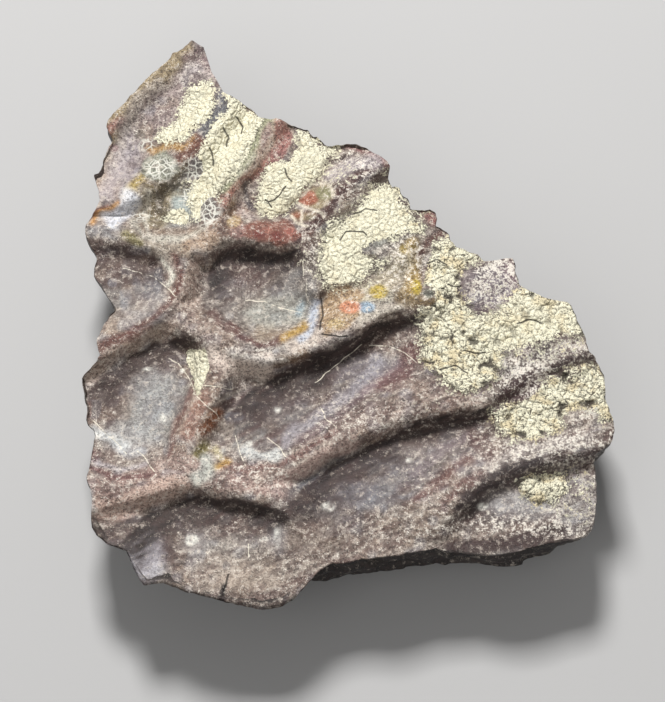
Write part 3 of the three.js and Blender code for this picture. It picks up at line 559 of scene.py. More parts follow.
# veils over the floors, where the bone is smooth and little speckled: centre, half sizes, colour, strength
calm = np.zeros(len(places))
for cx, cy, rx, ry, colour, strength in [
    (-27.6, -12, 3.4, 4.6, (176, 178, 178), 0.5), (-31, -18.4, 4, 2, (204, 206, 206), 0.5),
    (2.4, -27, 4, 2, (150, 158, 168), 0.6), (8, -24, 4, 2, (150, 152, 156), 0.4),
    (23, -28, 4.4, 1.8, (216, 216, 214), 0.8), (18.7, -35.6, 3.4, 0.8, (176, 180, 164), 0.6),
    (-6, -25, 4, 1.6, (96, 102, 112), 0.5), (-9, 1, 5, 2.4, (160, 156, 144), 0.5),
    (-10, -3, 5, 1.4, (176, 158, 132), 0.5), (-28, 2.6, 2, 4, (152, 156, 162), 0.45),
    (-8.6, -15, 3, 2, (134, 132, 132), 0.6), (-3, -29.4, 2.4, 1.2, (176, 176, 174), 0.6),
    # the pale lavender tab near the bottom left corner, at (-28.5, -36) and (-27, -38), is pale bone
    # painted lighter still, a painted highlight against the shading of the relief there
    (3, -8, 5, 2, (180, 180, 188), 0.6), (-28.5, -36, 2.6, 3.4, (238, 236, 244), 0.85),
    (-27, -38, 1.4, 0.9, (222, 222, 226), 0.5), (-9.9, -32.8, 1.2, 2.2, (196, 202, 210), 0.6),
    (-33.5, 21, 2.4, 6, (174, 162, 156), 0.5), (-36.4, 16.6, 1.6, 2, (220, 206, 190), 0.7),
    (-7, 5, 3, 2.6, (156, 156, 152), 0.6), (-15, -39.6, 5, 1.4, (196, 178, 160), 0.6),
    (-5, -33, 5, 2.4, (164, 148, 134), 0.5), (-21, -34, 2.2, 1.6, (176, 178, 180), 0.6),
    (-16, -34.2, 4.4, 1, (178, 172, 164), 0.5), (-15, -38, 6, 2, (182, 168, 154), 0.4),
    (-24.6, 17.4, 1.4, 3, (178, 190, 186), 0.6), (11.5, -20.6, 5, 1.2, (176, 172, 170), 0.5),
    (27, -23, 4, 1, (120, 122, 132), 0.4), (22, 4.4, 3.6, 2.8, (124, 114, 122), 0.6),
    (-10, 0.4, 5, 2.4, (178, 180, 168), 0.45),
]:
    cover = spot(cx, cy, rx, ry, 2.2) * strength * (0.75 + 0.25 * field(sx / 1.5, sy / 1.5, 113))
    lay(colour, cover)
    calm = np.maximum(calm, np.clip(cover * 1.5, 0, 1))
for cx, cy, rx, ry in [
    (-12, -15.5, 7, 5), (1, -9, 7, 3.4), (1, -25, 9, 4.5), (13, -21.5, 7, 4), (-31, 3, 5, 7),
    (-12, 3, 8, 5), (-28, -13, 7, 6), (-5, 18.5, 3, 2.5), (-6.5, 15.3, 2, 1.2), (-11, 13, 4, 1.6),
]:
    calm = np.maximum(calm, 0.65 * spot(cx, cy, rx, ry, 3))
# dark upper walls of the hollows, sharp above and fading onto the floor, partly the bone's own dark purple
# brown and partly painted shade where the walls face away from the light: line, reach, colour, strength
DARKS = [
    ([(-38, 10.6), (-34, 11.2), (-30, 10.2), (-26.2, 7.8)], 4.2, (76, 68, 65), 0.42),
    ([(-20.6, 2), (-20.2, 6), (-18.4, 9.8), (-15.8, 11), (-13, 10.4), (-9.5, 10), (-6.4, 10.8), (-4.8, 8)],
        4.6, (47, 41, 40), 0.95),
    ([(-38.6, -12.4), (-34.6, -8.6), (-30.6, -5.8), (-26, -3.5), (-22.8, -3.3), (-21, -5)], 4.8,
        (58, 46, 42), 0.96),
    ([(-16.8, -15.2), (-15.2, -12.4), (-12.6, -10.3), (-9.4, -8.6), (-6, -6.6), (-2, -4.9)], 6,
        (44, 35, 33), 0.96),
    ([(-7, -6.6), (-3, -5.2), (0, -3.9), (4, -1.2), (10.4, 0.7), (12.4, -2)], 4.4, (44, 35, 33), 0.96),
    ([(-9.8, -28.8), (-6.8, -26.6), (-3, -23.5), (0.4, -21.4), (4, -19.1), (8, -17), (13, -14.9),
        (20.6, -13.6), (21, -15)], 5.4, (44, 35, 34), 0.95),
    ([(-36, -34.2), (-32.6, -31), (-28.8, -28.8)], 2.6, (60, 52, 50), 0.75),
    ([(-34, -36.2), (-31, -33), (-28.4, -30), (-25, -27.6), (-21, -26.8), (-17, -27.3), (-13, -28.2),
        (-9.4, -29.2), (-7.6, -31.4)], 5.6, (42, 34, 32), 0.95),
    ([(13, -31.2), (16, -27), (20, -23.5), (24, -21.9), (29.4, -21.3)], 5.4, (54, 46, 46), 0.94),
    ([(24, -22), (29, -21.2), (34, -20.2), (38, -19.4)], 1.8, (72, 64, 64), 0.55),
    ([(19.6, -13.4), (22.6, -10.6), (26, -8.3), (29, -7), (32, -5.9), (38, -4.2)], 2.8, (62, 50, 50), 0.9),
]
dark = np.zeros(len(places))
# first a wider, fainter maroon band below each wall: maroon bone deepened with painted shade
for line, reach, colour, strength in DARKS:
    lay(MAROON, wall(line, reach * 1.7) * on_face * 0.5)
# then the walls themselves: their darker bone with painted shade laid over it, and dark keeps how much
for line, reach, colour, strength in DARKS:
    uneven = 0.86 + 0.3 * field(down_ridge / 2, over_ridge / 0.4, 120)
    cover = wall(line, reach) * strength * on_face * uneven
    lay(colour, cover)
    dark = np.maximum(dark, cover)
# pale bands on the shoulders above the walls, partly worn paler bone and partly painted highlight that
# lightens where the relief shades them: line, half width, colour, strength
for line, width, colour, strength in [
    ([(-36.8, -29.6), (-32, -29), (-28, -27.2), (-24, -25.2)], 1.5, (206, 176, 160), 0.75),
    ([(-19, -6.2), (-16.6, -7.8), (-13.8, -8.3), (-11.6, -7.4)], 1.5, (222, 204, 190), 0.85),
    ([(-22.4, 12), (-20.6, 11.4), (-19.4, 12)], 1.2, (196, 170, 146), 0.7),
    ([(-37.4, -9.8), (-34, -6.4), (-30, -3.8), (-25, -1.8)], 0.9, (196, 174, 158), 0.7),
    ([(-21, 9), (-22.2, 5), (-22.2, 2)], 0.7, (184, 160, 146), 0.4),
    ([(-9.4, -25), (-6, -23.2), (-2.4, -21), (1, -19.4)], 1.0, (206, 176, 164), 0.7),
    ([(-8, -5), (-4, -3.4), (0, -1.8), (4, 0.6), (8, 2)], 0.7, (212, 196, 182), 0.75),
    ([(20, -22.4), (24, -20.8), (29, -19.6), (34, -18.6)], 0.9, (196, 186, 178), 0.6),
    ([(-16, -25.2), (-12, -26), (-9.6, -26.8)], 0.9, (188, 158, 148), 0.6),
    ([(-15.4, 20), (-13.6, 23.4), (-11.6, 27), (-10, 30.4)], 1.2, (204, 178, 160), 0.8),
]:
    lay(colour, stroke(line, width, 1.2) * strength)
# stains, streaks and coloured bone: line, half width, colour, strength
for line, width, colour, strength in [
    ([(-35, 28.6), (-34.6, 31), (-30.6, 35.6), (-24, 42.2)], 1.6, (150, 132, 98), 0.85),
    ([(-35, 29.4), (-33.2, 30.6)], 0.7, (157, 103, 100), 0.7),
    ([(-33.6, 26.5), (-32.4, 30), (-30.5, 34), (-27.8, 36.6)], 1.0, (168, 158, 152), 0.6),
    ([(-23.6, 41), (-22, 42), (-21, 40.4)], 0.9, (134, 114, 114), 0.8),
    ([(-28.6, 26.3), (-25.6, 26.7), (-23.4, 26.6), (-22.4, 27.6)], 0.6, (178, 135, 66), 0.9),
    ([(-26.4, 21.8), (-24.6, 24), (-22.6, 26.2), (-21.4, 27.8)], 1.0, (107, 64, 50), 0.9),
    ([(-25.6, 21.2), (-24, 23.2)], 0.7, (92, 82, 60), 0.8),
    ([(-21, 28.8), (-19.4, 31), (-18.2, 33.2), (-18.4, 35.4)], 0.9, (107, 110, 114), 0.85),
    ([(-32.4, 17.9), (-30.8, 19.8), (-30, 21.4)], 0.75, (167, 144, 75), 0.9),
    ([(-34.4, 15.4), (-33, 16.8), (-31.8, 18.4)], 1.1, (232, 232, 236), 0.85),
    ([(-37.4, 14.4), (-35.6, 16.2), (-33.8, 17.5)], 0.35, (192, 135, 55), 0.95),
    ([(-37.2, 15.4), (-35.2, 17.2)], 0.4, (110, 59, 46), 0.8),
    ([(-28.9, 20), (-29.1, 17), (-28.6, 14.2)], 0.7, (121, 107, 75), 0.85),
    ([(-27.2, 20.4), (-26.9, 17.6), (-26.6, 15.6)], 0.8, (89, 78, 55), 0.85),
    ([(-30, 13.8), (-27.4, 12.9), (-24, 13)], 0.6, (134, 114, 98), 0.7),
    ([(-31.6, 12.6), (-30.4, 11.4)], 0.8, (134, 125, 75), 0.8),
    ([(-31, 15), (-29.6, 12.7), (-26.4, 11.6), (-22.6, 12.2), (-20.4, 13.4)], 0.35, (174, 169, 155), 0.8),
    ([(-17.8, 20), (-16.6, 22.6), (-14.6, 25.8), (-12.8, 28.4), (-11.6, 30.4)], 1.05, (162, 164, 130),
        0.9),
    ([(-18.6, 20.6), (-17.4, 23.2), (-15.6, 25.9), (-13.9, 28.4), (-12.4, 30.6)], 0.25, (93, 94, 89), 0.8),
    ([(-16.2, 20.4), (-15.4, 22.4), (-13.4, 25.4)], 0.3, (212, 214, 186), 0.6),
    ([(-17.8, 17.2), (-16.8, 19.2), (-15.4, 21), (-13.8, 22), (-12.4, 23.4)], 0.5, (166, 106, 90), 0.7),
    ([(-14, 21.2), (-12.4, 22.4), (-11.6, 23.9)], 0.35, (94, 48, 46), 0.8),
    ([(-19.6, 16), (-18.4, 18.2)], 0.5, (134, 80, 57), 0.7),
    ([(-14.6, 20.6), (-14.6, 18.4), (-14.2, 17.4)], 0.55, (86, 82, 84), 0.85),
    ([(-15.6, 19), (-15.4, 16.4), (-13.6, 14.8)], 0.5, (171, 153, 150), 0.6),
    ([(-6.6, 12.2), (-4.9, 14), (-3.2, 16), (-1.8, 17.9), (-0.2, 19.8), (2.4, 22.2), (5.2, 24.2)], 0.55,
        (82, 42, 36), 0.95),
    ([(0.6, 26.6), (3.4, 25.4), (5.9, 23.6)], 0.5, (134, 87, 85), 0.8),
    ([(-1.8, 21.8), (1, 23.8), (4, 24)], 1.1, (190, 180, 180), 0.8),
    ([(9.1, 11), (9.5, 8.4), (9.5, 5.6), (8.4, 3.2)], 0.9, (169, 141, 78), 0.9),
    ([(10.3, 9.4), (11.5, 11.5), (13.6, 13)], 0.5, (86, 52, 44), 0.95),
    ([(-27.8, 16.6), (-27, 19.2), (-24.8, 20.4), (-22.8, 20)], 0.6, (78, 68, 50), 0.85),
    ([(-26.4, 17), (-25.8, 18.8), (-24.2, 19)], 0.5, (146, 132, 104), 0.8),
    ([(-28.9, 19.4), (-29.7, 16.4), (-28.6, 13), (-25.2, 11.4), (-21.8, 12.4)], 0.3, (206, 200, 186),
        0.75),
    ([(-33.6, 14.8), (-32.2, 16.2), (-31, 17.8)], 0.9, (220, 222, 228), 0.8),
    ([(-35.4, 19), (-34.4, 22), (-33.4, 25)], 1.2, (186, 176, 178), 0.5),
    ([(-7.2, 11.4), (-4.9, 13.8), (-2.6, 16.6), (-0.4, 19.4), (2.4, 22)], 0.35, (58, 30, 28), 0.9),
    ([(2, 3), (5, 4.6), (7, 6.6), (8.4, 9)], 1.6, (196, 184, 158), 0.7),
    ([(2, -0.6), (5, 0.8), (8.4, 2)], 0.7, (206, 198, 182), 0.7),
    ([(11.6, 15.8), (12.6, 15.2)], 0.7, (134, 75, 71), 0.8),
    ([(7.6, 2.6), (9, 2.1), (10.6, 2.4), (12, 2.2)], 0.9, (112, 90, 48), 0.85),
    ([(-6.2, -3.6), (-5.2, -1.8), (-4.7, 0), (-4.4, 1.6)], 0.7, (192, 198, 210), 0.9),
    ([(-7.2, 0.2), (-6.6, 1.4)], 0.6, (158, 174, 180), 0.8),
    ([(-26.7, 8.6), (-25.7, 7.4), (-25.4, 6), (-26, 4.4)], 0.3, (228, 224, 208), 0.95),
    ([(-24.7, 9.6), (-24.1, 7.2), (-24.7, 3.5), (-27, 0.4), (-30, -1.9), (-35.4, -4.8)], 0.5, (96, 52, 43),
        0.8),
    ([(-35, -5.4), (-31, -3.4), (-28, -1.8)], 0.35, (100, 57, 46), 0.6),
    ([(-16.9, -1.4), (-15.3, -3.4), (-13, -4.4), (-10.6, -4.1), (-9, -3.2)], 0.45, (89, 48, 46), 0.85),
    ([(-19.4, 0.6), (-18, -1.6), (-16.4, -2.6)], 0.5, (110, 78, 73), 0.6),
    ([(-9, -3.4), (-7.6, -2.6), (-6.3, -1.7)], 0.65, (180, 144, 69), 0.92),
    ([(-9.8, -6.9), (-7.8, -6.3), (-6, -5.6)], 0.7, (117, 87, 55), 0.8),
    ([(-14.4, -6.6), (-12, -7), (-9, -6.6)], 0.3, (206, 202, 196), 0.6),
    ([(-37.4, -21.2), (-34.6, -22.5), (-31.4, -22.9), (-28.4, -22.2)], 0.25, (198, 190, 192), 0.75),
    ([(-37, -22.6), (-33.4, -24), (-30.2, -24.2), (-27.8, -23.6)], 0.45, (105, 62, 62), 0.8),
    ([(-37, -20.4), (-36, -21.2)], 0.6, (116, 75, 75), 0.7),
    ([(-36.4, -17.8), (-34, -18.6), (-31.8, -19.6)], 0.7, (222, 224, 222), 0.75),
    ([(-33.6, -19.6), (-31, -20.8), (-29.4, -20.6)], 0.5, (204, 206, 208), 0.5),
    ([(-25.3, -21), (-24.1, -16.4), (-22.6, -12.8), (-21.2, -10.4)], 0.5, (121, 80, 71), 0.65),
    ([(-22.6, -18), (-21.4, -14.4), (-20, -12)], 0.8, (150, 103, 85), 0.6),
    ([(-20.2, -17.4), (-19.4, -15.8), (-18.8, -14.6)], 0.9, (130, 75, 41), 0.9),
    ([(-21, -21), (-20.2, -20)], 0.9, (132, 123, 75), 0.9),
    ([(-18.4, -22.8), (-17.4, -22.2)], 0.6, (198, 157, 80), 0.95),
    ([(-18.6, -20.4), (-18.2, -21.2)], 0.4, (203, 190, 151), 0.9),
    ([(-20, -21.8), (-19.4, -23.6), (-21.2, -24.8)], 0.9, (194, 198, 188), 0.75),
    ([(-14.8, -20.6), (-12.4, -21.4), (-10, -20.9)], 0.6, (214, 216, 212), 0.8),
    ([(-17.4, -22.8), (-14, -23.5), (-10, -22.6), (-6, -20.3), (-2, -17.9)], 0.5, (117, 77, 71), 0.65),
    ([(-8.6, -19), (-3.4, -14.8), (1.6, -10.4), (4, -7.2)], 0.9, (162, 158, 164), 0.65),
    ([(-6.6, -19.2), (-1.6, -15.2), (3, -11.6)], 0.5, (107, 87, 93), 0.6),
    ([(2.6, -11.6), (5.6, -9.8), (7.6, -7.4)], 0.6, (157, 139, 142), 0.6),
    ([(5.2, -10.6), (8.4, -8.4), (9.6, -5.4)], 1.3, (98, 58, 56), 0.75),
    ([(10, -27.8), (13.6, -24.6), (17.2, -21.4)], 0.6, (100, 59, 53), 0.7),
    ([(13.4, -28.6), (16, -25.6), (19, -23.4)], 0.5, (110, 71, 66), 0.6),
    ([(9.6, -24.4), (13, -20.8), (17, -18.2)], 0.8, (141, 128, 130), 0.55),
    ([(18, -18), (20, -21)], 1.0, (93, 62, 59), 0.6),
    # the dark strip along the near bottom edge is maroon bone deepened with painted shade, where the edge
    # turns down into shadow
    ([(14.6, -35.2), (19, -34.7), (24, -33.8), (30, -32.4)], 1.3, (60, 44, 43), 0.92),
    ([(-36.4, -29.8), (-34.6, -31.8)], 0.4, (70, 58, 54), 0.8),
    ([(-35.8, -26.8), (-35.6, -29)], 0.4, (212, 210, 208), 0.7),
    ([(20, -10.6), (24, -7.6), (29, -4.6)], 0.5, (92, 84, 84), 0.6),
    ([(22.4, -12.8), (24.6, -11), (27.6, -9.8)], 1.3, (72, 50, 52), 0.85),
    ([(30.5, -22.4), (31.4, -24.6)], 0.4, (66, 58, 58), 0.8),
    ([(16.4, 3.4), (17.4, 1.4), (19.6, 0.6)], 0.9, (84, 68, 76), 0.75),
    ([(23.4, 8), (24, 6)], 0.8, (134, 105, 114), 0.7),
]:
    lay(colour, stroke(line, width, 0.7 + 0.5 * width) * strength)
# fields of one colour: outline, colour, strength
for loop, colour, strength in [
    ([(-30.6, 22), (-29.2, 25), (-26.6, 26), (-25, 24.4), (-24, 22.6), (-26, 21), (-28.6, 21)],
        (142, 146, 130), 0.85),
    ([(-11, 25.2), (-12.2, 24.2), (-10.6, 23.7), (-8.8, 25.8), (-8.3, 28.2), (-9.3, 30.8), (-10.7, 30.9),
        (-10.4, 28)], (158, 96, 88), 0.7),
    ([(-12.4, 26), (-11.2, 28.2), (-10.8, 30.4), (-11.6, 30.6), (-12.6, 28.6)], (141, 114, 112), 0.7),
    ([(-14.8, 14), (-13.2, 15), (-11, 14.4), (-9, 14.9), (-7.2, 12.8), (-5.2, 12.7), (-4.8, 13.4),
        (-7, 11.8), (-10, 10.9), (-13, 11.4), (-15, 12.4)], (128, 76, 62), 0.9),
    ([(-17, 12.6), (-15.4, 11.8), (-14.8, 13.6), (-16, 15.4)], (158, 117, 109), 0.6),
    ([(-7, 18.1), (-5.2, 20.4), (-2.6, 20.4), (-2.1, 18.5), (-4.1, 16.4)], (157, 142, 112), 0.95),
    ([(-8.2, 15.8), (-7.2, 16.7), (-4.5, 15.8), (-5, 14.7), (-6.5, 14.2)], (148, 128, 100), 0.95),
    ([(-4, -1.5), (-3.9, 1), (-2.6, 3.6), (0, 4.6), (2.2, 3.4), (1.9, 0.8), (0.6, -1), (-1, -2.4),
        (-3, -2.7)], (174, 146, 112), 0.92),
]:
    lay(colour, patch(loop, 0.7) * strength)
# small spots of one colour: centre, half sizes, colour, strength
for cx, cy, rx, ry, colour, strength in [
    (-5.7, 18.4, 1.6, 1.2, (160, 92, 70), 0.9), (-3.3, 19.1, 1.3, 1.1, (136, 134, 100), 0.9),
    (-7.3, 15.7, 0.8, 0.5, (150, 87, 61), 0.8), (-5.4, 15.2, 0.7, 0.4, (98, 93, 68), 0.7),
    (-12.7, 12.6, 0.9, 0.5, (103, 39, 34), 0.8), (-10.3, 12.3, 0.8, 0.7, (110, 44, 37), 0.8),
    (-11.4, 13.2, 0.5, 0.4, (183, 125, 107), 0.7), (-8.2, 13, 0.8, 0.6, (174, 107, 93), 0.6),
    (-16.4, 14.6, 1.0, 0.9, (189, 164, 116), 0.7), (4.5, 3.7, 1.3, 1.1, (185, 160, 55), 0.9),
    (10, 4.4, 0.7, 1.2, (187, 162, 46), 0.95), (8.5, 10.4, 0.9, 0.8, (183, 157, 75), 0.85),
    (2.8, 1.3, 1.2, 0.9, (150, 173, 192), 0.92), (0.4, 1.3, 1.5, 1.0, (210, 135, 100), 0.85),
    (-1.6, -1.2, 1.2, 0.8, (190, 166, 116), 0.7), (11.7, 3.4, 0.8, 0.8, (85, 93, 82), 0.8),
    (-22.6, 37.6, 1.8, 1.2, (98, 87, 87), 0.5), (-30.6, 28.6, 0.9, 0.8, (93, 85, 75), 0.7),
    (-29.8, 22.8, 0.4, 0.5, (70, 68, 58), 0.8), (-27.9, 23.2, 0.5, 0.4, (74, 76, 70), 0.7),
    (-26.8, 24.2, 0.4, 0.3, (70, 70, 62), 0.7), (-28.4, 24.8, 0.3, 0.3, (80, 76, 60), 0.7),
    (-26, 22.6, 0.5, 0.3, (76, 78, 72), 0.7), (-35.4, 17.6, 0.4, 0.5, (70, 56, 58), 0.8),
    (-37, -14.4, 0.5, 1.4, (112, 75, 59), 0.7), (-34.4, 26.4, 0.8, 0.6, (134, 96, 100), 0.6),
]:
    lay(colour, spot(cx, cy, rx, ry, 0.5) * strength)
# two holes in the crust of the second hollow
lay((104, 102, 98), (spot(-20, 16.4, 1.4, 2, 0.6) + spot(-21.9, 23, 1.1, 1.5, 0.6)) * 0.8)
# pale cement between the blocks of the broken ridge
for line in [
    [(-7.4, 17.4), (-5.8, 16.4), (-4.2, 15.8), (-3.4, 15.4)], [(-8.4, 15.6), (-7.4, 14.2), (-5.4, 13.9)],
    [(-7.2, 18.2), (-5.4, 20.8), (-2.8, 20.9), (-1.8, 18.8)], [(-6.7, 16.2), (-6.4, 14.4)],
]:
    lay((226, 216, 196), stroke(line, 0.2, 0.35) * 0.9)
# the open crack in the bottom edge
wedge = [(-16.9, -39.6), (-17.5, -40.2), (-18.6, -43.8), (-17.3, -44)]
lay((22, 18, 17), smooth(inside(wedge, sx, sy) / 0.3 + 0.6))
# chalky white dots: centre, half sizes
for cx, cy, rx, ry in [
    (-13.1, 0.7, 0.95, 0.65), (-9.8, -14.3, 0.6, 0.5), (-13.9, -19.5, 0.55, 0.5), (-2.8, -28.8, 1.0, 0.7),
    (8.8, -21.9, 0.5, 0.35), (-21.8, -33.7, 1.1, 0.9), (-18.2, -32.5, 0.6, 0.35), (-9.8, -32.9, 0.5, 1.5),
    (19, -28.7, 0.8, 0.6), (-35.7, -18.4, 0.9, 0.45), (-23.6, -8.4, 0.3, 0.3), (-28.6, -8.2, 0.6, 0.25),
    (-17.6, -20.6, 0.35, 0.3), (-12, -33.4, 0.8, 0.3), (-26.4, -15.6, 0.5, 0.8),
]:
    ragged = 0.7 + 0.9 * field(sx / 0.45, sy / 0.45, 131)
    lay((230, 227, 217), spot(cx, cy, rx * 0.9, ry * 0.9, 0.5) * ragged)

# sides and back: darker broken bone, banded like the layers it broke through, with painted shade that
# makes the near side near black
near_side_shade = smooth((-26 - sy) / 8)
lay((64, 55, 51), 1 - on_face)
# painted shade: the near side, turned away from the lamp, is made near black and its pale bands fade there
lay((26, 22, 21), (1 - on_face) * near_side_shade)
pale_layers = smooth(field(sx / 4, places[:, 2] / 0.9 + sy / 9, 33) * 1.6)
lay((96, 86, 77), (1 - on_face) * (1 - 0.6 * near_side_shade) * pale_layers * 0.6)
dark_layers = smooth(field(sx / 3 + 7, places[:, 2] / 1.4 + sy / 7, 53) * 1.6)
lay((30, 26, 25), (1 - on_face) * dark_layers * 0.7)

# The crust: cream sand cemented by lime, left in the hollows and worn thin over the ridges. Chalk is
# how much pale lime lies on the bone, and crust is how far inside a patch of sand each place is.
chalk = 0.5 + 0.25 * smooth((sx - 8) / 14) - 0.55 * (1 - on_face) - 0.5 * dark - 0.25 * calm
for cx, cy, rx, ry, more in [
    (32, -28, 4, 6, 0.1), (28, -6, 8, 3, 0.35), (22, 5, 4, 4, 0.6), (29, -20, 8, 2.4, 0.3),
    (-30, 24, 4, 4, -0.2), (0, 22, 5, 4, 0.4), (-27, 10, 5, 3, -0.1), (26, -10, 7, 2.2, 0.3),
    (-11, -24.6, 6, 2, 0.3), (6, -16, 8, 2, 0.25), (-12, -5.5, 7, 1.6, 0.2), (-5, 9, 1.6, 6, 0.5),
    (8, 9, 3, 5, 0.4), (31, -13, 6, 3, 0.3), (24, -9, 6, 2, 0.15), (20, -33, 12, 3, 0.25),
    (-28, -14, 5, 4, -0.1), (-12, -16, 6, 4, -0.15), (22, -34.2, 9, 1.4, -0.8), (0, -25, 8, 3, -0.1),
    (-27, -36, 4, 4, -0.2),
]:
    chalk += more * spot(cx, cy, rx, ry, 2)
crust = crust_at(sx, sy)
# thin patches beside the thick ones
for loop in [
    [(-26.9, 15.2), (-25, 16.3), (-23.4, 16.2), (-23.6, 14.9), (-25.5, 14.7), (-26.6, 14.6)],
    [(-3.6, 27.4), (-1, 27.2), (-1.6, 25), (-3, 24.4), (-6, 25)],
    [(5.6, 21), (7.8, 20.6), (10, 17), (12.6, 16.4), (11, 14.6), (7, 18.4)],
]:
    crust = np.maximum(crust, inside(loop, sx, sy))
# places where it is worn, each to its own depth
for cx, cy, rx, ry, loss in [
    (-17, 25, 3, 4, -0.6), (-9.6, 20, 2.4, 3.4, -0.5), (4.2, 10.3, 3.4, 1.3, 1.6),
    (-22, 15.2, 2.6, 2.2, 0.9), (8, 16, 4, 2.6, 0.8), (9, 7.4, 1.8, 4.6, 2.4), (-4.6, 17.4, 2.2, 2.8, 1.6),
    (1.6, 11, 3, 1.4, 1.2), (20, -0.6, 5, 2, 0.7), (24, -4.4, 5, 1.2, 0.8), (-3.6, 9, 1.4, 5, 0.5),
    (2, 5.4, 4, 1.6, 0.8), (26, -19, 4, 1.6, 0.6), (33, -12.6, 3, 4, 1.1), (31, -15, 4, 2, 0.6),
    (24, -6, 3, 2, 1.2), (31, -0.5, 3, 3, 0.5), (29, -28, 2, 1.4, 0.5), (22, -16, 1.6, 2, 0.3),
    (-22.6, 22, 1, 2.6, 0.8), (-11.6, 29.6, 1.2, 1.4, 0.6), (-4, 24, 2, 3, 0.4), (29, -3.4, 4, 1, 0.8),
    (-15, 32.6, 2, 1.4, 0.4),
]:
    crust -= loss * spot(cx, cy, rx, ry, 1.2)
# scattered remains
for cx, cy, rx, ry, level in [
    (27, -5.6, 7, 2, -0.45), (32.5, -27, 3, 6, -0.6), (29, -20.4, 7, 1.4, -0.7), (21, 4, 4, 3, -0.75),
    (-6.4, 9.4, 1.4, 3, -0.6), (-1, 22, 3, 2.4, -0.6), (-19.4, 34.6, 1, 2, -0.5), (-26.4, 12.6, 1, 1, -1),
    (6, 21.6, 2, 2, -0.5), (27, -10.4, 5, 1.4, -0.9), (-11, -25, 5, 1.2, -1.0), (12, -13.6, 5, 1.4, -0.95),
]:
    edge = level - 1.5 * (1 - spot(cx, cy, rx, ry, 1.6))
    crust = np.maximum(crust, np.where(on_face > 0, edge, -4))
# a drop on the stem ridge and a lump beside the second hollow, both dense
tear = [(-22.9, -5.4), (-20.3, -5.4), (-19.7, -7.9), (-21.3, -12.1), (-22.1, -8.8), (-23, -6.7)]
lump = [(-26, 16.2), (-24, 16.5), (-23, 15.6), (-23.6, 14.4), (-25.6, 14.6)]
for loop in (tear, lump):
    crust = np.maximum(crust, np.minimum(inside(loop, sx, sy) * 9 + 1, 4))
# holes and soft edges
for cx, cy, rx, ry, soften, loss in [
    (-20, 16.4, 1.3, 2, 0.8, 2.6), (-21.9, 23, 1, 1.5, 0.8, 2.6), (2.5, 14, 4, 5.4, 3, 1.9),
    (11.8, 3, 1.3, 1.6, 1, 3), (21.5, -6.6, 2.6, 2.6, 2, 0.9), (33, -14, 3, 4, 2, 0.7),
    (24.8, -11.4, 2, 1.4, 1.5, 1.4), (7, 8.8, 4.6, 4.4, 3, 3.2),
]:
    crust -= loss * spot(cx, cy, rx, ry, soften)
for cx, cy, rx, ry, gain in [(28, -25.4, 4, 2, 0.7), (13.4, 6, 2, 3.4, 1.6), (20, 8, 3, 1, 0.8)]:
    crust += gain * spot(cx, cy, rx, ry, 1.5) * on_face
crust -= 0.35 * smooth((sx - 19) / 4) * spot(27, -15, 9, 6, 2)
# little of it hangs down the sides
below = smooth((FACE - 1.4 - places[:, 2]) / 3)
crust = np.where(on_face > 0.9, crust, np.minimum(crust, 0.4) - 0.9 * below)
# the crust of the left hollows is denser and ends more sharply
crust *= 1 + 0.5 * (1 - smooth((sx + 9) / 4))
# where the crust is a fine white net
net = np.zeros(len(places))
for cx, cy, rx, ry in [
    (-27.4, 23, 2.4, 1.8), (-20.4, 16.4, 2, 2.6), (-22.2, 23, 1.6, 2), (-22.8, 18.6, 1.6, 1.6),
    (-30, 15.6, 1.2, 0.8), (-29.4, 27, 1, 1), (34.6, -12, 1.6, 3),
]:
    net = np.maximum(net, spot(cx, cy, rx, ry, 1.4))


# Fine lines: pale scratches across the bone, and open cracks in the crust and the near edge.
# Each follows a few points and shakes a little.
def fine_lines(lines, reach):
    """Signed distance to the nearest of many thin lines, and how near a place is to any of them."""
    signed = np.full(len(places), 9.0)
    near = np.zeros(len(places))
    shake_x = 0.15 * field(sx, sy, 95)
    shake_y = 0.15 * field(sx, sy, 96)
    for line in lines:
        far, side, at = along(line, sx + shake_x, sy + shake_y)
        ends = smooth((at + 0.02) / 0.2) * smooth((len(line) - 1 - at + 0.02) / 0.2)
        closer = far < abs(signed)
        signed = np.where(closer, far * side, signed)
        near = np.maximum(near, (1 - smooth(far / reach)) * ends)
    return signed, near * on_face


SCRATCHES = [
    [(-33, 7.5), (-28, 6), (-26, 4.3), (-24.2, 2.7)], [(-6.3, 9), (-6.3, 6)], [(-5.9, 5.5), (-5.9, 3)],
    [(-15, 2.4), (-12, 2.2), (-9.6, 1.2), (-5, 0.2)],
    [(-25.8, -6.4), (-24.3, -7.3), (-22.8, -9.3), (-21.6, -11.9), (-20, -13.6), (-18.4, -15),
        (-18.1, -15.8)],
    [(-30, -20.3), (-28.5, -21.8), (-27.1, -23.8)], [(-16, -18), (-15.2, -20.5), (-14.3, -22.8)],
    [(-4.8, -10.5), (-2, -8), (0, -6), (2.3, -4.3)], [(3, -4.6), (6, -4.6), (8, -5.5), (10, -7.3)],
    [(-11.6, -18.4), (-9.6, -19.8), (-8.4, -21.4)], [(-22, -10.6), (-19.4, -10.8), (-16, -11.2)],
    [(-14, -34), (-13.8, -36.4)], [(-4, -13), (-3.2, -15.4), (-1.4, -17.2)],
    [(-37, -15.2), (-33, -19), (-31, -21.2)],
]
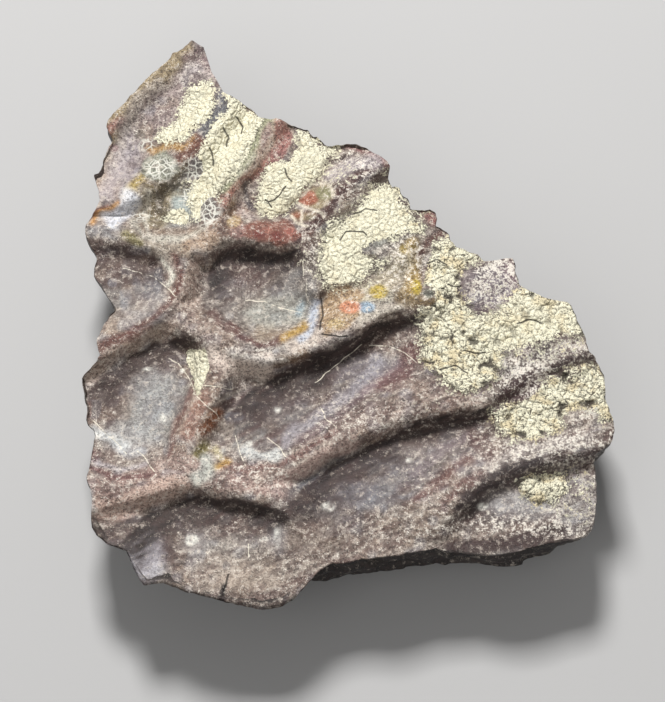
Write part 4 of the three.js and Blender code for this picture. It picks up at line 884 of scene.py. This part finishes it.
CRACKS = [
    [(-20.2, 26.5), (-19.6, 25.2), (-19.6, 23.2)], [(-9.2, 23), (-8.7, 21.6), (-8, 20.9)],
    [(-8.9, 20.2), (-9.8, 19), (-10.6, 18.1), (-11.6, 17.8), (-12.1, 18.2)],
    [(-11.5, 17.6), (-10.9, 16.8)], [(-1.2, 11.5), (0, 13.2), (2.3, 13), (3, 12.2)],
    [(14.5, 4.8), (15.4, 4.4), (16.5, 4.5)], [(16.7, -5.3), (18, -5.8), (19.8, -5.6)],
    [(-4, -2.9), (-1, -3.2), (0.3, -3.3)], [(-18.2, 29.6), (-17.4, 28), (-17.6, 26.4)],
    [(-16.6, -38.4), (-16.9, -39.4), (-17.2, -41)], [(13, -8.4), (15.4, -7.6), (17.2, -8.8)],
    [(11.4, 8), (13, 8.6), (14.6, 7.8)], [(24, -1.4), (26, -0.6), (28, -1.2)],
    [(-3.8, 3), (-3.6, 0), (-4.1, -2.4)], [(0.8, 15.6), (2.6, 16.6), (4.6, 16.4)],
    [(-16.4, 31.4), (-15.4, 29.8), (-15.6, 28.4)],
]

# The mesh of the plate, in metres, with its paint, crust, chalk and fine lines kept in it.
# The frame's origin is under the middle of the plate.
OFFSET = np.array([-0.021, -0.442, 0.0])
mesh = bpy.data.meshes.new("petrified_bone")
mesh.from_pydata(((places + OFFSET) / 1000).tolist(), [], [tuple(int(v) for v in p) for p in polygons])
mesh.update()
mesh.polygons.foreach_set("use_smooth", [True] * len(mesh.polygons))
paint_layer = mesh.attributes.new("paint", "FLOAT_COLOR", "POINT")
paint_layer.data.foreach_set("color", np.column_stack([paint, np.ones(len(paint))]).ravel())


def keep(name, values):
    """Keeps one number for each place, for the material to read."""
    mesh.attributes.new(name, "FLOAT", "POINT").data.foreach_set("value", values.astype(np.float32))


keep("crust", np.clip(crust, -5, 5))
keep("chalk", chalk)
keep("gaps", gaps)
keep("calm", calm)
keep("net", net)
keep("coarse", smooth((sx - 6) / 5) * (1 - 0.6 * spot(25, -1.5, 7, 4, 4)))
for name, lines in (("scratch", SCRATCHES), ("crack", CRACKS)):
    signed, near = fine_lines(lines, 0.9)
    keep(name, np.clip(signed, -2, 2))
    keep(name + "_near", near)
scute = bpy.data.objects.new("scute_visual", mesh)
bpy.context.collection.objects.link(scute)

# The finish: petrified bone, dull and finely speckled, with chalky dots and thin curling lines.
# The cemented sand over it is cream to tan, with open pits between its grains.
material = bpy.data.materials.new("petrified_bone")
material.use_nodes = True
nodes, links = material.node_tree.nodes, material.node_tree.links
nodes.clear()


class Socket:
    """A socket that can be added, subtracted and multiplied like a number."""

    def __init__(self, socket):
        self.socket = socket

    @staticmethod
    def node(kind, settings, out=0, **values):
        """Adds a node: its settings first, then its sockets by name, or by number as i0, i1 and on."""
        made = nodes.new(kind)
        for key, value in settings.items():
            setattr(made, key, value)
        for key, value in values.items():
            target = made.inputs[int(key[1:]) if key[1:].isdigit() else key]
            if isinstance(value, Socket):
                links.new(value.socket, target)
            else:
                target.default_value = value
        if out is not None:
            return Socket(made.outputs[out])

    def _math(self, other, kind, flip=False):
        a, b = (other, self) if flip else (self, other)
        return Socket.node("ShaderNodeMath", {"operation": kind}, i0=a, i1=b)

    def __add__(self, other):
        return self._math(other, "ADD")

    def __radd__(self, other):
        return self._math(other, "ADD")

    def __sub__(self, other):
        return self._math(other, "SUBTRACT")

    def __rsub__(self, other):
        return self._math(other, "SUBTRACT", True)

    def __mul__(self, other):
        return self._math(other, "MULTIPLY")

    def __rmul__(self, other):
        return self._math(other, "MULTIPLY")

    def ramp(self, low, high):
        """0 at low and below, 1 at high and above, smooth between."""
        eased = {"interpolation_type": "SMOOTHSTEP"}
        return Socket.node("ShaderNodeMapRange", eased, i0=self, i1=low, i2=high)


def attribute(name, out="Fac"):
    """What the mesh keeps under that name."""
    return Socket.node("ShaderNodeAttribute", {"attribute_name": name}, out)


own_place = Socket.node("ShaderNodeTexCoord", {}, "Object")
place = Socket.node("ShaderNodeVectorMath", {"operation": "SCALE"}, i0=own_place, Scale=1000.0)


def noise(scale, detail, rough):
    """Cloudy noise, its scale in waves for each millimetre."""
    return Socket.node("ShaderNodeTexNoise", {}, Vector=place, Scale=scale, Detail=detail, Roughness=rough)


def mix(a, b, by):
    """Colour a going over to colour b."""
    return Socket.node("ShaderNodeMix", {"data_type": "RGBA"}, 2, i0=by, i6=a, i7=b)


def rgb(r, g, b):
    return (*tone(r, g, b), 1)


def line_of(name, width):
    """1 on the fine lines of that name, 0 beside them."""
    off = Socket.node("ShaderNodeMath", {"operation": "ABSOLUTE"}, i0=attribute(name))
    return (1 - off.ramp(width * 0.5, width * 1.5)) * attribute(name + "_near").ramp(0.3, 0.7)


crust_in = attribute("crust")
chalk_on = attribute("chalk")
calm_on = attribute("calm")
gaps_in = attribute("gaps")
coarse_in = attribute("coarse")
blotch = noise(0.45, 5, 0.6)
mottle = noise(1.3, 5, 0.65)
grain = noise(3.3, 3, 0.6)
fine = noise(6.0, 2, 0.55)
to_edge = {"feature": "DISTANCE_TO_EDGE"}
cells = Socket.node("ShaderNodeTexVoronoi", to_edge, 0, Vector=place, Scale=1.05, Randomness=1.0)

# the painted bone, and on it dark specks, pale specks, white dots, the white net and the scratches
bone = attribute("paint", "Color")
bone = mix(bone, rgb(72, 55, 51), (1 - mottle).ramp(0.5, 0.62) * (0.4 - calm_on * 0.15))
bone = mix(bone, rgb(40, 31, 29), (1 - grain).ramp(0.53, 0.6) * (0.65 - calm_on * 0.35))
pale = (mottle * 0.7 + blotch * 0.3 + chalk_on * 0.08).ramp(0.57, 0.64)
bone = mix(bone, rgb(200, 188, 176), pale * 0.4)
specks = (mottle * 0.4 + grain * 0.6 + chalk_on * 0.15).ramp(0.67, 0.7)
bone = mix(bone, rgb(234, 228, 216), specks * 0.75)
dots = (fine * 0.65 + mottle * 0.35 + chalk_on * 0.05).ramp(0.61, 0.65)
bone = mix(bone, rgb(236, 228, 216), dots * 0.75 * chalk_on.ramp(0.0, 0.5))
net_lines = 1 - (cells + (grain - 0.5) * 0.3).ramp(0.03, 0.13)
bone = mix(bone, rgb(226, 224, 212), net_lines * attribute("net") * 0.8)
scratches = line_of("scratch", 0.06) * mottle.ramp(0.36, 0.52)
bone = mix(bone, rgb(240, 232, 212), scratches * 0.8)

# thin curling lines, pale and dark, where a noise is close to one level
near_level = Socket.node("ShaderNodeMath", {"operation": "COMPARE"}, i0=grain, i1=0.5, i2=0.012)
curls = near_level * (mottle + chalk_on * 0.06).ramp(0.52, 0.58)
bone = mix(bone, rgb(226, 210, 192), curls * 0.6)
near_dark = Socket.node("ShaderNodeMath", {"operation": "COMPARE"}, i0=mottle, i1=0.44, i2=0.008)
bone = mix(bone, rgb(58, 42, 39), near_dark * grain.ramp(0.44, 0.56) * 0.6)

# the sand: cream to tan, with dark seams and pits that are coarser at the right
sand = mix(rgb(234, 229, 203), rgb(212, 193, 150), blotch.ramp(0.48, 0.62) * (0.2 + coarse_in * 0.45))
sand = mix(sand, rgb(184, 170, 138), (1 - grain).ramp(0.53, 0.63) * 0.5)
seam = (1 - (cells + (grain - 0.5) * 0.5).ramp(0.0, 0.1)) * mottle.ramp(0.4, 0.54)
sand = mix(sand, rgb(40, 34, 30), seam * (0.4 + coarse_in * 0.45))
sand = mix(sand, rgb(50, 42, 36), (1 - fine).ramp(0.57, 0.63) * (0.5 + coarse_in * 0.4))
pits = (gaps_in + (fine - 0.5) * 0.8 + (grain - 0.5) * 0.9).ramp(0.48, 0.62)
sand = mix(sand, rgb(46, 38, 33), pits * (0.2 + coarse_in * 0.7))
breakup = (mottle - 0.5) * 5.0 + (grain - 0.5) * 4.5 + (fine - 0.5) * 2.0
sanded = (crust_in + breakup).ramp(-0.15, 0.15)
finish = mix(bone, sand, sanded)
finish = mix(finish, rgb(34, 28, 26), line_of("crack", 0.08) * 0.9)

BUMP_DEPTH = 0.0004  # in metres
height = grain * 0.5 + fine * 0.3 + sanded * cells.ramp(0, 0.3) * 0.6 + mottle * 0.8
height = height - line_of("crack", 0.12) * 0.8
bump = Socket.node("ShaderNodeBump", {}, 0, Strength=0.9, Distance=BUMP_DEPTH, Height=height)
surface = Socket.node("ShaderNodeBsdfPrincipled", {}, 0, **{
    "Base Color": finish,
    "Roughness": 0.44 + sanded * 0.42 + grain * 0.1,
    "Normal": bump,
    "Specular IOR Level": 0.4,
})
Socket.node("ShaderNodeOutputMaterial", {}, None, Surface=surface)
mesh.materials.append(material)

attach(scute, "root")
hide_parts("scute")

# The floor: one plain pale sheet of dull paper.
# It lies flat under the plate and isn't part of it.
FLOOR_SIZE = 3
PAPER = (0.42, 0.415, 0.41, 1)
bpy.ops.mesh.primitive_plane_add(size=FLOOR_SIZE)
floor = bpy.context.object
floor.name = "floor"
floor_material = bpy.data.materials.new("floor")
floor_material.use_nodes = True
paper = floor_material.node_tree.nodes["Principled BSDF"]
paper.inputs["Base Color"].default_value = PAPER
paper.inputs["Roughness"].default_value = 0.9
floor.data.materials.append(floor_material)

# The light: a soft lamp from beyond the top of the plate and a weaker, wider one from the near left.
# A dim white room fills the shadows.
LIT_PLACE = (0, 0, 0.01)


def lamp(name, place_at, size, power):
    """A square lamp that faces the plate."""
    data = bpy.data.lights.new(name, "AREA")
    data.size = size
    data.energy = power
    made = bpy.data.objects.new(name, data)
    made.location = place_at
    made.rotation_euler = (Vector(LIT_PLACE) - Vector(place_at)).to_track_quat("-Z", "Y").to_euler()
    bpy.context.collection.objects.link(made)


lamp("window", (-0.07, 0.42, 0.6), size=0.16, power=7.4)
lamp("fill", (-0.3, -0.5, 0.7), size=0.8, power=2)
room = bpy.data.worlds.new("room")
room.use_nodes = True
room.node_tree.nodes["Background"].inputs["Color"].default_value = (1, 1, 1, 1)
room.node_tree.nodes["Background"].inputs["Strength"].default_value = 0.24
bpy.context.scene.world = room
bpy.context.scene.view_settings.view_transform = "Standard"

# The camera: a long lens above the near side of the plate.
# It looks down on the face at the photograph's angle.
ELEVATION = math.radians(70)
DISTANCE = 0.42
PICTURE_HEIGHT = 702
LENS_PIXELS = 2940  # the lens's focal length, in pixels of that picture
SENSOR = 36
PICTURE_MIDDLE = np.array([-2.1, -5.4, FACE])  # the place on the face that the picture is centred on
aim = Vector((PICTURE_MIDDLE + OFFSET) / 1000)
camera_data = bpy.data.cameras.new("camera")
camera_data.lens = SENSOR * LENS_PIXELS / PICTURE_HEIGHT
camera_data.sensor_width = SENSOR
camera = bpy.data.objects.new("camera", camera_data)
camera.location = aim + Vector((0, -math.cos(ELEVATION), math.sin(ELEVATION))) * DISTANCE
camera.rotation_euler = (math.pi / 2 - ELEVATION, 0, 0)
bpy.context.collection.objects.link(camera)
bpy.context.scene.camera = camera
